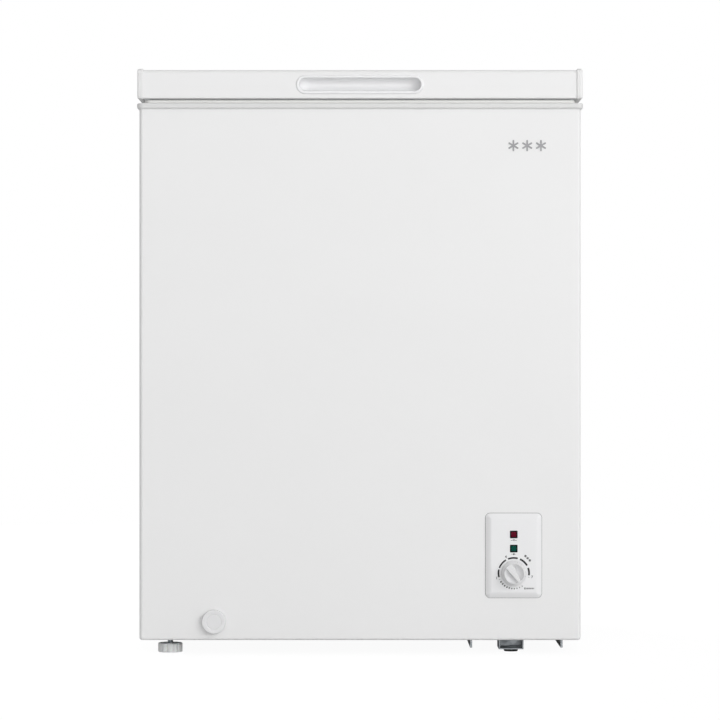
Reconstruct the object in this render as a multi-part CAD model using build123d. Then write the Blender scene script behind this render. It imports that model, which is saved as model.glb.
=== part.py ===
from build123d import *
import os
from math import cos, radians, sin

# A small chest freezer: insulated tub, sprung lid, and a machine bay low on the right.
# Millimetres, +Z up, origin on the floor under the middle of the bounding box.
# The front faces -Y, and +X is to the right of someone standing in front of it.

# ---- driving dimensions ----
CAB_W = 625.0            # cabinet, side to side
CAB_D = 525.0            # cabinet, front to back
FOOT_H = 20.0            # floor to the underside of the cabinet
RIM_TOP = 780.0          # top of the plastic frame round the tub
RIM_H = 8.0              # height of the frame's skirt
RIM_PROUD = 3.3          # how far the frame stands out of the cabinet
LID_BOTTOM = 786.5
LID_TOP = 827.2
LID_W = 630.0            # over the end caps
CAP_X = 8.2              # thickness of a lid end cap
CAP_PROUD = 2.0          # how far an end cap stands out of the lid sheet
WALL = 58.0              # side insulation
WALL_Y = 55.0            # front and rear insulation
FLOOR_Z = 82.0           # tub floor
KNOB_REACH = 19.5        # knob face in front of the cabinet front
HINGE_REACH = 29.0       # hinge covers behind the cabinet back
SHEET = 1.0              # steel sheet
SKIN = 1.2               # tub and lid liner plastic
OPEN_DEG = 75.0          # how far the lid opens

# ---- derived places ----
HW = CAB_W / 2
BACK = (CAB_D + KNOB_REACH - HINGE_REACH) / 2
FRONT = BACK - CAB_D
RIM_UNDER = RIM_TOP - RIM_H
HEM_TOP = FOOT_H + SHEET         # the wrap is folded under by this much
BED_TOP = HEM_TOP + SHEET        # top of the bottom sheet that lies on the fold
TUB_TOP = RIM_TOP - 3.0          # underside of the frame's top plate
TUB_HX = HW - WALL - 2.5         # tub inner face, left and right
TUB_Y0 = FRONT + WALL_Y
TUB_Y1 = BACK - WALL_Y
STEP_X = 70.0                    # tub step over the machine bay
STEP_Z = 290.0
BAY_X = 111.0                    # machine bay, inner left face
BAY_Z = 238.0                    # machine bay, ceiling
LIP = 3.0                        # frame lip that covers the tub's edge

# control panel, low on the right of the front
PANEL_X, PANEL_Z = 217.4, 140.0
PANEL_W, PANEL_H, PANEL_T = 80.2, 120.5, 5.0
LAMP = 10.3
RED_Z, GREEN_Z = 170.0, 150.0
KNOB_Z = 115.2
KNOB_R, SKIRT_R = 15.3, 18.0
KNOB_POINTS = -57.0              # pointer at its lowest setting, degrees from +X
SHAFT_R = 3.0

# drain, low on the left of the front
DRAIN_X, DRAIN_Z = -206.6, 46.4
DRAIN_Y = FRONT + 112.0
DRAIN_R, DRAIN_BORE = 8.0, 6.0
RUN_GAP = 0.05                   # radial clearance of a running fit

# feet
FOOT_X, FOOT_IN = -271.0, 42.0
FOOT_R, FOOT_BODY = 17.8, 13.0
STUD_R = 4.0
BASE_X0, BASE_X1 = 157.0, 289.0  # compressor carrier under the machine bay
STEEL_FOOT_X = 216.0

# hinges
HINGE_X = 195.0
PIN_Y, PIN_Z = BACK + 17.0, 790.0
PIN_R = 4.0
TAIL_R = 9.0                     # crank radius that lets the plunger follow the lid
PLUNGER_Y = BACK + 8.4

# compressor
COMP_X, COMP_Y = 212.0, BACK - 148.0

# basket
BASKET_X0, BASKET_X1 = 40.0, 243.0
BASKET_Y0, BASKET_Y1 = TUB_Y0 + 6.3, TUB_Y1 - 6.3
BASKET_RIM_Z, BASKET_FLOOR_Z = 770.0, 582.0

HANDLE_Z = 806.4
HANDLE_W, HANDLE_H = 181.0, 27.0
POCKET_W, POCKET_H = 170.0, 18.0


# ---- shape helpers ----
def block(x0, x1, y0, y1, z0, z1):
    """Box between two corners."""
    return Pos((x0 + x1) / 2, (y0 + y1) / 2, (z0 + z1) / 2) * Box(x1 - x0, y1 - y0, z1 - z0)


def plan_block(x0, x1, y0, y1, z0, z1, r):
    """Box with its upright edges rounded."""
    face = RectangleRounded(x1 - x0, y1 - y0, r)
    return Pos((x0 + x1) / 2, (y0 + y1) / 2, z0) * extrude(face, amount=z1 - z0)


def rod_x(x0, x1, y, z, r):
    """Cylinder along X."""
    return Pos((x0 + x1) / 2, y, z) * Rot(0, 90, 0) * Cylinder(r, x1 - x0)


def rod_y(x, y0, y1, z, r):
    """Cylinder along Y."""
    return Pos(x, (y0 + y1) / 2, z) * Rot(90, 0, 0) * Cylinder(r, y1 - y0)


def rod_z(x, y, z0, z1, r):
    """Cylinder along Z."""
    return Pos(x, y, (z0 + z1) / 2) * Cylinder(r, z1 - z0)


def front_prism(face, x, z, y0, y1):
    """Sketch drawn as seen from the front, extruded from y0 back to y1."""
    return Pos(x, y1, z) * extrude(Plane.XZ * face, amount=y1 - y0)


def side_prism(points, x0, x1):
    """Polygon of (y, z) points, extruded from x0 to x1."""
    return Pos(x0, 0, 0) * extrude(Plane.YZ * Polygon(*points, align=None), amount=x1 - x0)


def lid_bar(shrink):
    """Lid outline along X: big rounds along the top, small rolls along the bottom."""
    far = SHEET_HX + 2 * shrink
    bar = block(-far, far, LID_Y0 + shrink, LID_Y1 - shrink, LID_BOTTOM + shrink, LID_TOP - shrink)
    bar = fillet(bar.edges().filter_by(Axis.X).group_by(Axis.Z)[-1], 6 - shrink)
    return fillet(bar.edges().filter_by(Axis.X).group_by(Axis.Z)[0], 2 - 0.8 * shrink)


def tube_along(points, radius, bend, bore=0.0):
    """Round tube through the points, with every corner bent to one radius."""
    face = Circle(radius)
    if bore:
        face -= Circle(bore)
    runs = []
    for run in FilletPolyline(*points, radius=bend).edges():
        runs.append(sweep(Plane(run @ 0, z_dir=run % 0) * face, path=run))
    return runs[0].fuse(*runs[1:])


def mirrored(shape):
    """The same shape on the other side of the freezer."""
    return mirror(shape, about=Plane.YZ)


# ---- cabinet ----
def interior(z0, z1):
    """Space inside the steel sheets, between two heights."""
    return wrap(SHEET, TUB_TOP) & block(-HW, HW, FRONT, BACK - SHEET, z0, z1)


def tub_space(grow, top):
    """Inside of the tub, grown by a skin thickness; it steps up over the machine bay."""
    space = plan_block(-TUB_HX - grow, TUB_HX + grow, TUB_Y0 - grow, TUB_Y1 + grow,
                       FLOOR_Z - grow, top, 18.0 + grow)
    return space - block(STEP_X + grow, HW, FRONT, BACK, 0, STEP_Z - grow)


VENT_Y0, VENT_Y1, VENT_Z0, VENT_Z1 = BACK - 205.0, BACK - 45.0, 62.0, 196.0
COVER_X0, COVER_X1, COVER_Z0, COVER_Z1 = 122.0, 302.0, 30.0, 226.0


def wrap(shrink, top):
    """Outline of the painted wrap, shrunk by a sheet thickness, with its bottom edge rolled."""
    solid = plan_block(-HW + shrink, HW - shrink, FRONT + shrink, BACK + 20, FOOT_H + shrink, top, 5.0 - shrink)
    return fillet(solid.faces().sort_by(Axis.Z)[0].edges(), 3.5 - shrink)


def outer_shell():
    """One painted sheet wrapped round the front and both sides and folded under."""
    skin = wrap(0, TUB_TOP) - wrap(SHEET, TUB_TOP + 10)
    skin -= block(-HW + 14, HW - 14, FRONT + 14, BACK + 30, FOOT_H - 1, HEM_TOP + 1)
    skin &= block(-HW, HW, FRONT, BACK, FOOT_H, TUB_TOP)
    skin -= front_prism(Rectangle(PANEL_W - 16, PANEL_H - 16), PANEL_X, PANEL_Z, FRONT - 1, FRONT + 2)
    skin -= rod_y(DRAIN_X, FRONT - 1, FRONT + 2, DRAIN_Z, DRAIN_R)
    return skin - block(HW - 3, HW + 1, VENT_Y0 + 6, VENT_Y1 - 6, VENT_Z0 + 6, VENT_Z1 - 6)


def rear_panel():
    """Flat back sheet with a window into the machine bay."""
    sheet = block(-HW, HW, BACK - SHEET, BACK, FOOT_H, TUB_TOP) & wrap(SHEET, TUB_TOP + 10)
    sheet -= block(COVER_X0 + 8, COVER_X1 - 8, BACK - 5, BACK + 5, COVER_Z0 + 8, COVER_Z1 - 8)
    for x, z in cover_screw_places() + base_screw_places():
        sheet -= rod_y(x, BACK - 5, BACK + 5, z, 2.1)
    return sheet


def foot_places():
    """Axes of the two screw feet on the left."""
    return [(FOOT_X, FRONT + FOOT_IN), (FOOT_X, BACK - FOOT_IN)]


def bottom_panel():
    """Galvanised bottom sheet, open over the compressor carrier."""
    sheet = interior(HEM_TOP, BED_TOP)
    sheet -= block(BASE_X0 + 4, BASE_X1 - 4, FRONT + 48, BACK - 48, 0, FOOT_H + 5)
    for x, y in foot_places():
        sheet -= rod_z(x, y, 0, 40, 8.0)
    return sheet


def foot_sockets():
    """Threaded bushes for the screw feet, flanged over the bottom sheet."""
    bushes = []
    for x, y in foot_places():
        bush = rod_z(x, y, HEM_TOP, 50, 8.0) + rod_z(x, y, BED_TOP, 25, 14.0)
        bushes.append(bush - rod_z(x, y, 0, 60, STUD_R + RUN_GAP))
    return bushes


def bay_wall():
    """Bent sheet that keeps the foam out of the machine bay."""
    wall = block(BAY_X - SHEET, HW - SHEET, FRONT + SHEET, BACK - SHEET, BED_TOP, BAY_Z + SHEET)
    wall -= block(BAY_X, HW, FRONT, BACK, 0, BAY_Z)
    wall -= rod_x(BAY_X - 5, BAY_X + 5, COIL_Y, COIL_Z, COIL_R)
    return wall & interior(0, TUB_TOP)


COIL_R, COIL_Y, COIL_Z = 2.4, BACK - SHEET - 2.6, 200.0


def inner_liner():
    """Moulded tub with a step over the machine bay and a drain hole."""
    tub = tub_space(SKIN, TUB_TOP) - tub_space(0, TUB_TOP + 10)
    return tub - rod_z(DRAIN_X, DRAIN_Y, 60, 100, DRAIN_R)


def condenser_coil():
    """Hot tube: across the back, then up and down inside the left side sheet."""
    x = -HW + SHEET + 2.6
    low, high = 120.0, 700.0
    points = [(BAY_X + 20, COIL_Y, COIL_Z), (x, COIL_Y, COIL_Z), (x, BACK - 70, COIL_Z)]
    for i in range(6):
        y = BACK - 70 - 64 * i
        if i:
            points.append((x, y, low if i % 2 == 0 else high))
        points.append((x, y, high if i % 2 == 0 else low))
    return tube_along(points, COIL_R, 18.0)


def evaporator_coil():
    """Cold tube wound round the outside of the tub, above the step."""
    off = SKIN + 4.1
    x, y0, y1 = TUB_HX + off, TUB_Y0 - off, TUB_Y1 + off
    pitch, turns, z = 62.0, 6, 330.0
    points = [(x, -40.0, z)]
    for _ in range(turns):
        points += [(x, y1, z), (-x, y1, z), (-x, y0, z), (x, y0, z), (x, -60.0, z), (x, -60.0, z + pitch)]
        z += pitch
    return tube_along(points[:-1], 4.0, 20.0)


def drain_tube():
    """Elbow from the tub floor to the front sheet."""
    points = [(DRAIN_X, DRAIN_Y, FLOOR_Z), (DRAIN_X, DRAIN_Y, DRAIN_Z), (DRAIN_X, FRONT, DRAIN_Z)]
    return tube_along(points, DRAIN_R, 20.0, DRAIN_BORE)


def drain_track():
    """Solid core of the drain elbow, for the foam to flow round."""
    points = [(DRAIN_X, DRAIN_Y, FLOOR_Z), (DRAIN_X, DRAIN_Y, DRAIN_Z), (DRAIN_X, FRONT, DRAIN_Z)]
    return tube_along(points, DRAIN_R, 20.0)


def cabinet_foam(coils):
    """Rigid foam between the sheets and the tub, cast round the tubes and bushes."""
    foam = interior(BED_TOP, TUB_TOP) - tub_space(SKIN, TUB_TOP + 10)
    foam -= block(BAY_X - SHEET, HW + 10, FRONT - 10, BACK + 10, 0, BAY_Z + SHEET)
    for x, y in foot_places():
        foam -= rod_z(x, y, 0, 50, 8.0)
        foam -= rod_z(x, y, 0, 25, 14.0)
    foam -= drain_track()
    for coil in coils:
        foam -= coil
    return foam


def top_frame():
    """Moulded frame that caps the sheets and the tub's edge."""
    grow = 0.1
    frame = plan_block(-HW - RIM_PROUD, HW + RIM_PROUD, FRONT - RIM_PROUD, BACK + RIM_PROUD,
                       RIM_UNDER, RIM_TOP, 8.3)
    frame = fillet(frame.faces().sort_by(Axis.Z)[-1].edges(), 1.6)
    frame = chamfer(frame.faces().sort_by(Axis.Z)[0].edges(), 1.8)
    frame -= plan_block(-HW - grow, HW + grow, FRONT - grow, BACK + grow, RIM_UNDER - 1, TUB_TOP, 5.1)
    frame -= block(-HW - grow, HW + grow, BACK - 20, BACK + grow, RIM_UNDER - 1, TUB_TOP)
    lip = plan_block(-TUB_HX, TUB_HX, TUB_Y0, TUB_Y1, RIM_TOP - 18, TUB_TOP, 18.0)
    opening = plan_block(-TUB_HX + LIP, TUB_HX - LIP, TUB_Y0 + LIP, TUB_Y1 - LIP, 700, 800, 15.0)
    return frame + lip - opening


# ---- underside ----
def base_plate():
    """Galvanised channel that carries the compressor, flanges down."""
    y0, y1 = FRONT + 32, BACK - 32
    plate = block(BASE_X0, BASE_X1, y0, y1, HEM_TOP - 1.5, HEM_TOP)
    for x0 in (BASE_X0, BASE_X1 - 3):
        plate += block(x0, x0 + 3, y0, y1, 6.4, HEM_TOP)
        plate -= block(x0 - 1, x0 + 4, y0 + 3, y0 + 9, 10, FOOT_H - 3)
    for x, y in mount_places():
        plate -= rod_z(x, y, 0, 30, 4.1)
    return plate


def foot_brackets():
    """Pressed steel feet under the carrier, open at the front."""
    feet = []
    for y in (FRONT + 64, BACK - 64):
        foot = block(STEEL_FOOT_X - 17.7, STEEL_FOOT_X + 17.7, y - 25, y + 25, 3.4, HEM_TOP - 1.5)
        foot -= block(STEEL_FOOT_X - 16.2, STEEL_FOOT_X + 16.2, y - 26, y + 23.5, 4.9, FOOT_H)
        feet.append(foot)
    return feet


def foot_pads():
    """Rubber pads under the steel feet."""
    pad = Pos(STEEL_FOOT_X, 0, 1.7) * Cone(9.5, 11.0, 3.4)
    return [Pos(0, y, 0) * pad for y in (FRONT + 52, BACK - 52)]


def screw_foot(x, y):
    """Lobed plastic foot on a threaded stud."""
    foot = rod_z(0, 0, 0, 1.2, 15.2) + rod_z(0, 0, 1.2, FOOT_BODY, 15.6)
    for i in range(12):
        a = radians(30 * i + 15)
        foot += rod_z(13.2 * cos(a), 13.2 * sin(a), 1.2, FOOT_BODY, FOOT_R - 13.2)
    foot += rod_z(0, 0, FOOT_BODY, 46, STUD_R)
    return Pos(x, y, 0) * foot


# ---- machine bay ----
def mount_places():
    """Compressor mounting bolts."""
    return [(COMP_X + sx * 40, COMP_Y + sy * 84) for sx in (-1, 1) for sy in (-1, 1)]


def oval(rx, ry, z0, z1):
    """Upright oval block on the compressor's axis."""
    return Pos(COMP_X, COMP_Y, z0) * extrude(Ellipse(rx, ry), amount=z1 - z0)


def compressor_lower_shell():
    """Deep-drawn steel cup."""
    cup = oval(66, 78, 41, 111)
    cup = fillet(cup.faces().sort_by(Axis.Z)[0].edges(), 16)
    room = oval(63, 75, 44, 112)
    return cup - fillet(room.faces().sort_by(Axis.Z)[0].edges(), 13)


def compressor_upper_shell():
    """Domed steel lid, welded on over the cup's lip."""
    dome = oval(66, 78, 111, 184)
    dome = fillet(dome.faces().sort_by(Axis.Z)[-1].edges(), 28)
    room = oval(63, 75, 110, 181)
    return dome + oval(69, 81, 111, 118) - fillet(room.faces().sort_by(Axis.Z)[-1].edges(), 25)


def compressor_motor():
    """Motor and pump block, standing on the cup's floor."""
    return oval(46, 58, 44, 150)


def compressor_bracket():
    """Two straps under the compressor, one at each end, with eyes for the grommets."""
    straps = []
    for sy in (-1, 1):
        y = COMP_Y + sy * 70
        strap = block(COMP_X - 60, COMP_X + 60, y - 28, y + 28, 38, 41)
        for sx in (-1, 1):
            strap -= rod_z(COMP_X + sx * 40, COMP_Y + sy * 84, 30, 50, 6.5)
        straps.append(strap)
    return straps


def compressor_grommets():
    """Rubber spools that hold the straps off the carrier."""
    grommets = []
    for x, y in mount_places():
        spool = rod_z(x, y, HEM_TOP, 38, 10) + rod_z(x, y, 38, 41, 6.5) + rod_z(x, y, 41, 44, 9)
        grommets.append(spool - rod_z(x, y, 0, 60, 4.1))
    return grommets


def compressor_bolts():
    """Bolts through the grommets, heads under the carrier, nuts on top."""
    bolts = []
    for x, y in mount_places():
        bolt = rod_z(x, y, 15.5, 54, 4.0)
        bolt += Pos(x, y, 15.5) * extrude(RegularPolygon(7, 6), amount=4)
        bolt += Pos(x, y, 44) * extrude(RegularPolygon(7, 6), amount=6)
        bolts.append(bolt)
    return bolts


def terminal_cover():
    """Clip-on box over the compressor's terminals and start relay."""
    y = COMP_Y - 76
    box = block(COMP_X - 26, COMP_X + 26, y - 32, y + 8, 74, 126)
    box = fillet(box.edges().filter_by(Axis.Z), 5)
    return box - oval(69.2, 81.2, 40, 140)


def suction_tube():
    """Return line from the foam to the compressor's side."""
    x = COMP_X - 69.2
    points = [(x, COMP_Y, 150), (x - 16, COMP_Y, 150), (x - 16, COMP_Y + 60, 150),
              (x - 16, COMP_Y + 60, BAY_Z)]
    return tube_along(points, 4.0, 12.0)


def discharge_tube():
    """Hot line from the compressor to the condenser's start."""
    x, y, drop = COMP_X - 20, BACK - 28, BAY_X + 45
    points = [(x, COMP_Y + 77, 90), (x, y, 90), (x, y, COIL_Z), (drop, y, COIL_Z),
              (drop, COIL_Y, COIL_Z), (BAY_X + 20, COIL_Y, COIL_Z)]
    return tube_along(points, 3.0, 10.0)


def filter_drier():
    """Copper can that dries the refrigerant."""
    x, y = BAY_X + 20, BACK - 60
    can = rod_z(x, y, 60, 150, 10)
    can = fillet(can.edges().filter_by(GeomType.CIRCLE), 4)
    return can + rod_z(x, y, 48, 165, 3)


def capillary_tube():
    """Thin line from the drier, wound four turns, then up into the foam."""
    x, y = BAY_X + 20, BACK - 60
    z0, pitch, turns, r = 168.0, 5.0, 4, 14.0
    coil = Helix(pitch=pitch, height=pitch * turns, radius=r, center=(x, y, z0))
    line = sweep(Plane(coil @ 0, z_dir=coil % 0) * Circle(1.0), path=coil, is_frenet=True)
    line += rod_z(x, y, 165, z0 + 1, 1.0) + rod_x(x, x + r, y, z0, 1.0)
    return line + rod_z(x + r, y, z0 + pitch * turns, BAY_Z, 1.0)


def side_vent():
    """Louvred plastic grille in the right side sheet."""
    x0, x1 = HW, HW + 2.4
    plate = block(x0, x1, VENT_Y0, VENT_Y1, VENT_Z0, VENT_Z1)
    plate = fillet(plate.edges().filter_by(Axis.X), 6)
    neck = block(HW - 8, HW, VENT_Y0 + 6, VENT_Y1 - 6, VENT_Z0 + 6, VENT_Z1 - 6)
    neck -= block(HW - 9, HW + 1, VENT_Y0 + 8, VENT_Y1 - 8, VENT_Z0 + 8, VENT_Z1 - 8)
    grille = plate + neck
    rows, cols = 9, 3
    room_z = VENT_Z1 - VENT_Z0 - 24
    room_y = VENT_Y1 - VENT_Y0 - 24
    for i in range(rows):
        z = VENT_Z0 + 12 + room_z * (i + 0.5) / rows
        for j in range(cols):
            y = VENT_Y0 + 12 + room_y * (j + 0.5) / cols
            grille -= block(HW - 1, HW + 5, y - room_y / cols / 2 + 4, y + room_y / cols / 2 - 4, z - 3, z + 3)
    return grille


def rear_cover():
    """Steel cover over the machine bay, with rows of air slots and the cord hole."""
    cover = block(COVER_X0, COVER_X1, BACK, BACK + 1.5, COVER_Z0, COVER_Z1)
    cover = fillet(cover.edges().filter_by(Axis.Y), 8)
    for i in range(11):
        z = COVER_Z0 + 42 + 13 * i
        for x in (COVER_X0 + 55, COVER_X1 - 55):
            cover -= front_prism(SlotOverall(58, 5), x, z, BACK - 2, BACK + 5)
    cover -= rod_y(GLAND_X, BACK - 5, BACK + 5, GLAND_Z, 7.0)
    for x, z in cover_screw_places():
        cover -= rod_y(x, BACK - 5, BACK + 5, z, 2.1)
    return cover


GLAND_X, GLAND_Z = 276.0, 52.0


def cover_screw_places():
    return [(x, z) for x in (COVER_X0 + 4.5, COVER_X1 - 4.5) for z in (COVER_Z0 + 14, COVER_Z1 - 14)]


def cord_gland():
    """Grommet for the mains lead, in the rear cover."""
    gland = rod_y(GLAND_X, BACK - 4, BACK + 5, GLAND_Z, 7.0)
    gland += rod_y(GLAND_X, BACK + 1.5, BACK + 5, GLAND_Z, 10.0)
    gland += rod_y(GLAND_X, BACK - 4, BACK - 1.5, GLAND_Z, 8.5)
    return gland - rod_y(GLAND_X, BACK - 10, BACK + 10, GLAND_Z, 3.75)


def screws_at(places, y):
    """Pan-head screws whose heads sit on a face at y."""
    screws = []
    for x, z in places:
        head = rod_y(x, y, y + 2.2, z, 4.2)
        head = fillet(head.faces().sort_by(Axis.Y)[-1].edges(), 1.2)
        screw = head + rod_y(x, y - 2.4, y, z, 2.0)
        cross = Rectangle(4.6, 0.9) + Rectangle(0.9, 4.6)
        screws.append(screw - front_prism(cross, x, z, y + 1.2, y + 3))
    return screws


# ---- control panel ----
def control_panel():
    """Raised plate with a soft edge, windows for two lamps and a hole for the shaft."""
    plate = front_prism(RectangleRounded(PANEL_W, PANEL_H, 7), PANEL_X, PANEL_Z, FRONT - PANEL_T, FRONT)
    rim = plate.faces().sort_by(Axis.Y)[0].edges()
    plate = fillet(rim, 3.4)
    plate -= front_prism(Rectangle(PANEL_W - 20, PANEL_H - 20), PANEL_X, PANEL_Z, FRONT - 2.2, FRONT + 1)
    for z in (RED_Z, GREEN_Z):
        plate -= front_prism(Rectangle(LAMP, LAMP), PANEL_X, z, FRONT - 10, FRONT + 1)
    return plate - rod_y(PANEL_X, FRONT - 10, FRONT + 1, KNOB_Z, 6.1)


def lamp_lens(z):
    """Square lamp window with softened edges."""
    lens = front_prism(Rectangle(LAMP, LAMP), PANEL_X, z, FRONT - PANEL_T - 0.7, FRONT - PANEL_T + 1.6)
    return chamfer(lens.faces().sort_by(Axis.Y)[0].edges(), 0.5)


def lamp_holders():
    """Lamp bodies behind the windows, each with two spade terminals."""
    holders = []
    for z in (RED_Z, GREEN_Z):
        holder = block(PANEL_X - 5, PANEL_X + 5, FRONT - PANEL_T + 1.6, FRONT + 20, z - 5, z + 5)
        for side in (-3, 3):
            holder += block(PANEL_X + side - 0.4, PANEL_X + side + 0.4, FRONT + 20, FRONT + 28, z - 2, z + 2)
        holders.append(holder)
    return holders


def thermostat():
    """Thermostat case behind the panel, with a bush that the shaft turns in."""
    y0 = FRONT + 8
    case = block(PANEL_X - 23, PANEL_X + 23, y0, y0 + 34, KNOB_Z - 19, KNOB_Z + 19)
    case = fillet(case.edges().filter_by(Axis.Y), 3)
    case += rod_y(PANEL_X, FRONT - 4, y0, KNOB_Z, 6.0)
    for dx in (-12, 0, 12):
        case += block(PANEL_X + dx - 3, PANEL_X + dx + 3, y0 + 34, y0 + 42, KNOB_Z - 0.5, KNOB_Z + 0.5)
    return case - rod_y(PANEL_X, FRONT - 10, y0 + 20, KNOB_Z, SHAFT_R + RUN_GAP)


def wiring_harness():
    """Sleeved leads from the thermostat to the compressor's terminals."""
    x, y0, y1, low, high = PANEL_X, FRONT + 72, COMP_Y - 128, 60.0, 90.0
    points = [(x, FRONT + 50.2, KNOB_Z), (x, y0, KNOB_Z), (x, y0, low), (x, y1, low),
              (x, y1, high), (x, COMP_Y - 108.2, high)]
    return tube_along(points, 3.0, 9.0)


def knob():
    """Dial knob: dished face crossed by a tapered grip, over a thin skirt."""
    face_y = FRONT - KNOB_REACH
    seat_y = FRONT - PANEL_T - 0.6
    skirt = rod_y(PANEL_X, seat_y - 2.4, seat_y, KNOB_Z, SKIRT_R)
    skirt = chamfer(skirt.faces().sort_by(Axis.Y)[0].edges(), 0.8)
    cap = rod_y(PANEL_X, face_y, seat_y - 2.4, KNOB_Z, KNOB_R)
    cap = fillet(cap.faces().sort_by(Axis.Y)[0].edges(), 0.8)
    depth, rim = 7.0, KNOB_R - 1.0
    ball = (rim * rim + depth * depth) / (2 * depth)
    dish = Pos(PANEL_X, face_y + depth - ball, KNOB_Z) * Sphere(ball)
    tip = KNOB_R + 1
    grip_face = Polygon((-tip, -5.0), (tip, -1.4), (tip, 1.4), (-tip, 5.0), align=None)
    grip = front_prism(Rot(0, 0, KNOB_POINTS) * grip_face, PANEL_X, KNOB_Z, face_y - 5, seat_y)
    bore = rod_y(PANEL_X, face_y + 9.5, seat_y + 1, KNOB_Z, SHAFT_R)
    return skirt + (cap - (dish - grip)) - bore


def knob_shaft():
    return rod_y(PANEL_X, FRONT - KNOB_REACH + 9.5, FRONT + 24, KNOB_Z, SHAFT_R)


# ---- drain closures ----
def drain_cap():
    """Round push-in cap with a finger edge and a shallow raised centre."""
    cap = rod_y(DRAIN_X, FRONT - 8.6, FRONT - 0.4, DRAIN_Z, 17.1)
    cap = fillet(cap.faces().sort_by(Axis.Y)[0].edges(), 1.6)
    groove = rod_y(DRAIN_X, FRONT - 9, FRONT - 8.1, DRAIN_Z, 10.8)
    groove -= rod_y(DRAIN_X, FRONT - 10, FRONT - 7, DRAIN_Z, 9.6)
    return cap - groove + rod_y(DRAIN_X, FRONT - 0.4, FRONT + 16, DRAIN_Z, DRAIN_BORE - RUN_GAP)


def drain_stopper():
    """Rubber stopper in the tub floor, with a pull tab."""
    plug = rod_z(DRAIN_X, DRAIN_Y, FLOOR_Z, FLOOR_Z + 3, 13)
    plug += rod_z(DRAIN_X, DRAIN_Y, FLOOR_Z - 10, FLOOR_Z, DRAIN_BORE - RUN_GAP)
    return plug + block(DRAIN_X - 7, DRAIN_X + 7, DRAIN_Y - 1.5, DRAIN_Y + 1.5, FLOOR_Z + 3, FLOOR_Z + 13)


def front_badge():
    """Plain frost mark: three six-armed stars in a row."""
    stars = []
    for dx in (-19.5, 0, 19.5):
        star = Sketch() + [Rot(0, 0, a) * SlotOverall(16, 2.4) for a in (30, 90, 150)]
        stars.append(front_prism(star, 236.6 + dx, 720.0, FRONT - 0.7, FRONT))
    return stars


# ---- lid ----
SHEET_HX = LID_W / 2 - CAP_X
LID_Y0, LID_Y1 = FRONT - 2.0, BACK + 1.0
PLUG_IN = 18.0                   # lid plug to tub wall
PLUG_Z = LID_BOTTOM - 12.5


def handle_slot(w, h, y0, y1):
    return front_prism(SlotOverall(w, h), 0, HANDLE_Z, y0, y1)


def lid_panel():
    """Painted sheet bent over the front, top and back of the lid."""
    skin = lid_bar(0) - lid_bar(SHEET)
    skin -= block(-HW, HW, LID_Y0 + 12, LID_Y1 - 12, LID_BOTTOM - 1, LID_BOTTOM + 2)
    for x, z in arm_screw_places():
        skin -= rod_y(x, LID_Y1 - 3, LID_Y1 + 1, z, 2.1)
    return skin - handle_slot(POCKET_W + 4, POCKET_H + 4, LID_Y0 - 1, LID_Y0 + 3)


def lid_foam():
    """Foam core of the lid, cast round the handle's pocket."""
    core = lid_bar(SHEET) & block(-SHEET_HX, SHEET_HX, FRONT - 10, BACK + 10, 700, 900)
    core += block(-SHEET_HX, SHEET_HX, LID_Y0 + 12, LID_Y1 - 12, LID_BOTTOM, LID_BOTTOM + 2)
    core += plug_space(SKIN, PLUG_Z + SKIN, LID_BOTTOM + 2)
    return core - handle_slot(POCKET_W + 4, POCKET_H + 4, LID_Y0, LID_Y0 + 17.5)


def plug_space(shrink, z0, z1):
    """Block of the lid that drops into the tub, shrunk by a skin thickness."""
    hx = TUB_HX - 16 - shrink
    return plan_block(-hx, hx, TUB_Y0 + PLUG_IN + shrink, TUB_Y1 - PLUG_IN - shrink, z0, z1, 16 - shrink)


def lid_liner():
    """Moulded underside of the lid."""
    flange = plan_block(-SHEET_HX + 1, SHEET_HX - 1, FRONT + 4, BACK - 4, LID_BOTTOM - SKIN, LID_BOTTOM, 4)
    skin = flange + plug_space(0, PLUG_Z, LID_BOTTOM)
    return skin - plug_space(SKIN, PLUG_Z + SKIN, LID_BOTTOM + 5)


def lid_gasket():
    """Magnetic seal: a foot under the lid's liner, and a wider tube that lands on the frame."""
    step = LID_BOTTOM - 2.7
    seal = plan_block(-301, 301, FRONT + 6, BACK - 8, step, LID_BOTTOM - SKIN, 8)
    seal += plan_block(-305, 305, FRONT + 0.8, BACK - 3, RIM_TOP + 0.4, step, 9)
    return seal - plan_block(-288, 288, FRONT + 22, BACK - 22, RIM_TOP, LID_BOTTOM, 4)


def right_end_cap():
    """Moulded end of the lid, standing a little proud of the sheet all round."""
    x0, x1 = SHEET_HX, LID_W / 2
    cap = block(x0, x1, LID_Y0 - CAP_PROUD, LID_Y1 + CAP_PROUD, LID_BOTTOM - 2.5, LID_TOP + 1.8)
    cap = fillet(cap.edges().filter_by(Axis.X), 6)
    cap = fillet(cap.faces().sort_by(Axis.X)[-1].edges(), 2.4)
    wedge = [(x0, LID_BOTTOM - 3), (x1 + 1, LID_BOTTOM - 3), (x1 + 1, LID_BOTTOM + 0.6), (x0, LID_BOTTOM - 2.4)]
    cut = extrude(Plane.XZ * Polygon(*wedge, align=None), amount=CAB_D, both=True)
    return cap - cut


def lid_handle():
    """Recessed grip: oval flange on the lid's front with a rounded pocket behind it."""
    flange = handle_slot(HANDLE_W, HANDLE_H, LID_Y0 - 1.6, LID_Y0)
    flange = fillet(flange.faces().sort_by(Axis.Y)[0].edges(), 1.2)
    body = handle_slot(POCKET_W + 4, POCKET_H + 4, LID_Y0, LID_Y0 + 17.5)
    pocket = handle_slot(POCKET_W, POCKET_H, LID_Y0 - 5, LID_Y0 + 16)
    pocket = fillet(pocket.faces().sort_by(Axis.Y)[-1].edges(), 6)
    return flange + body - pocket


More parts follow.
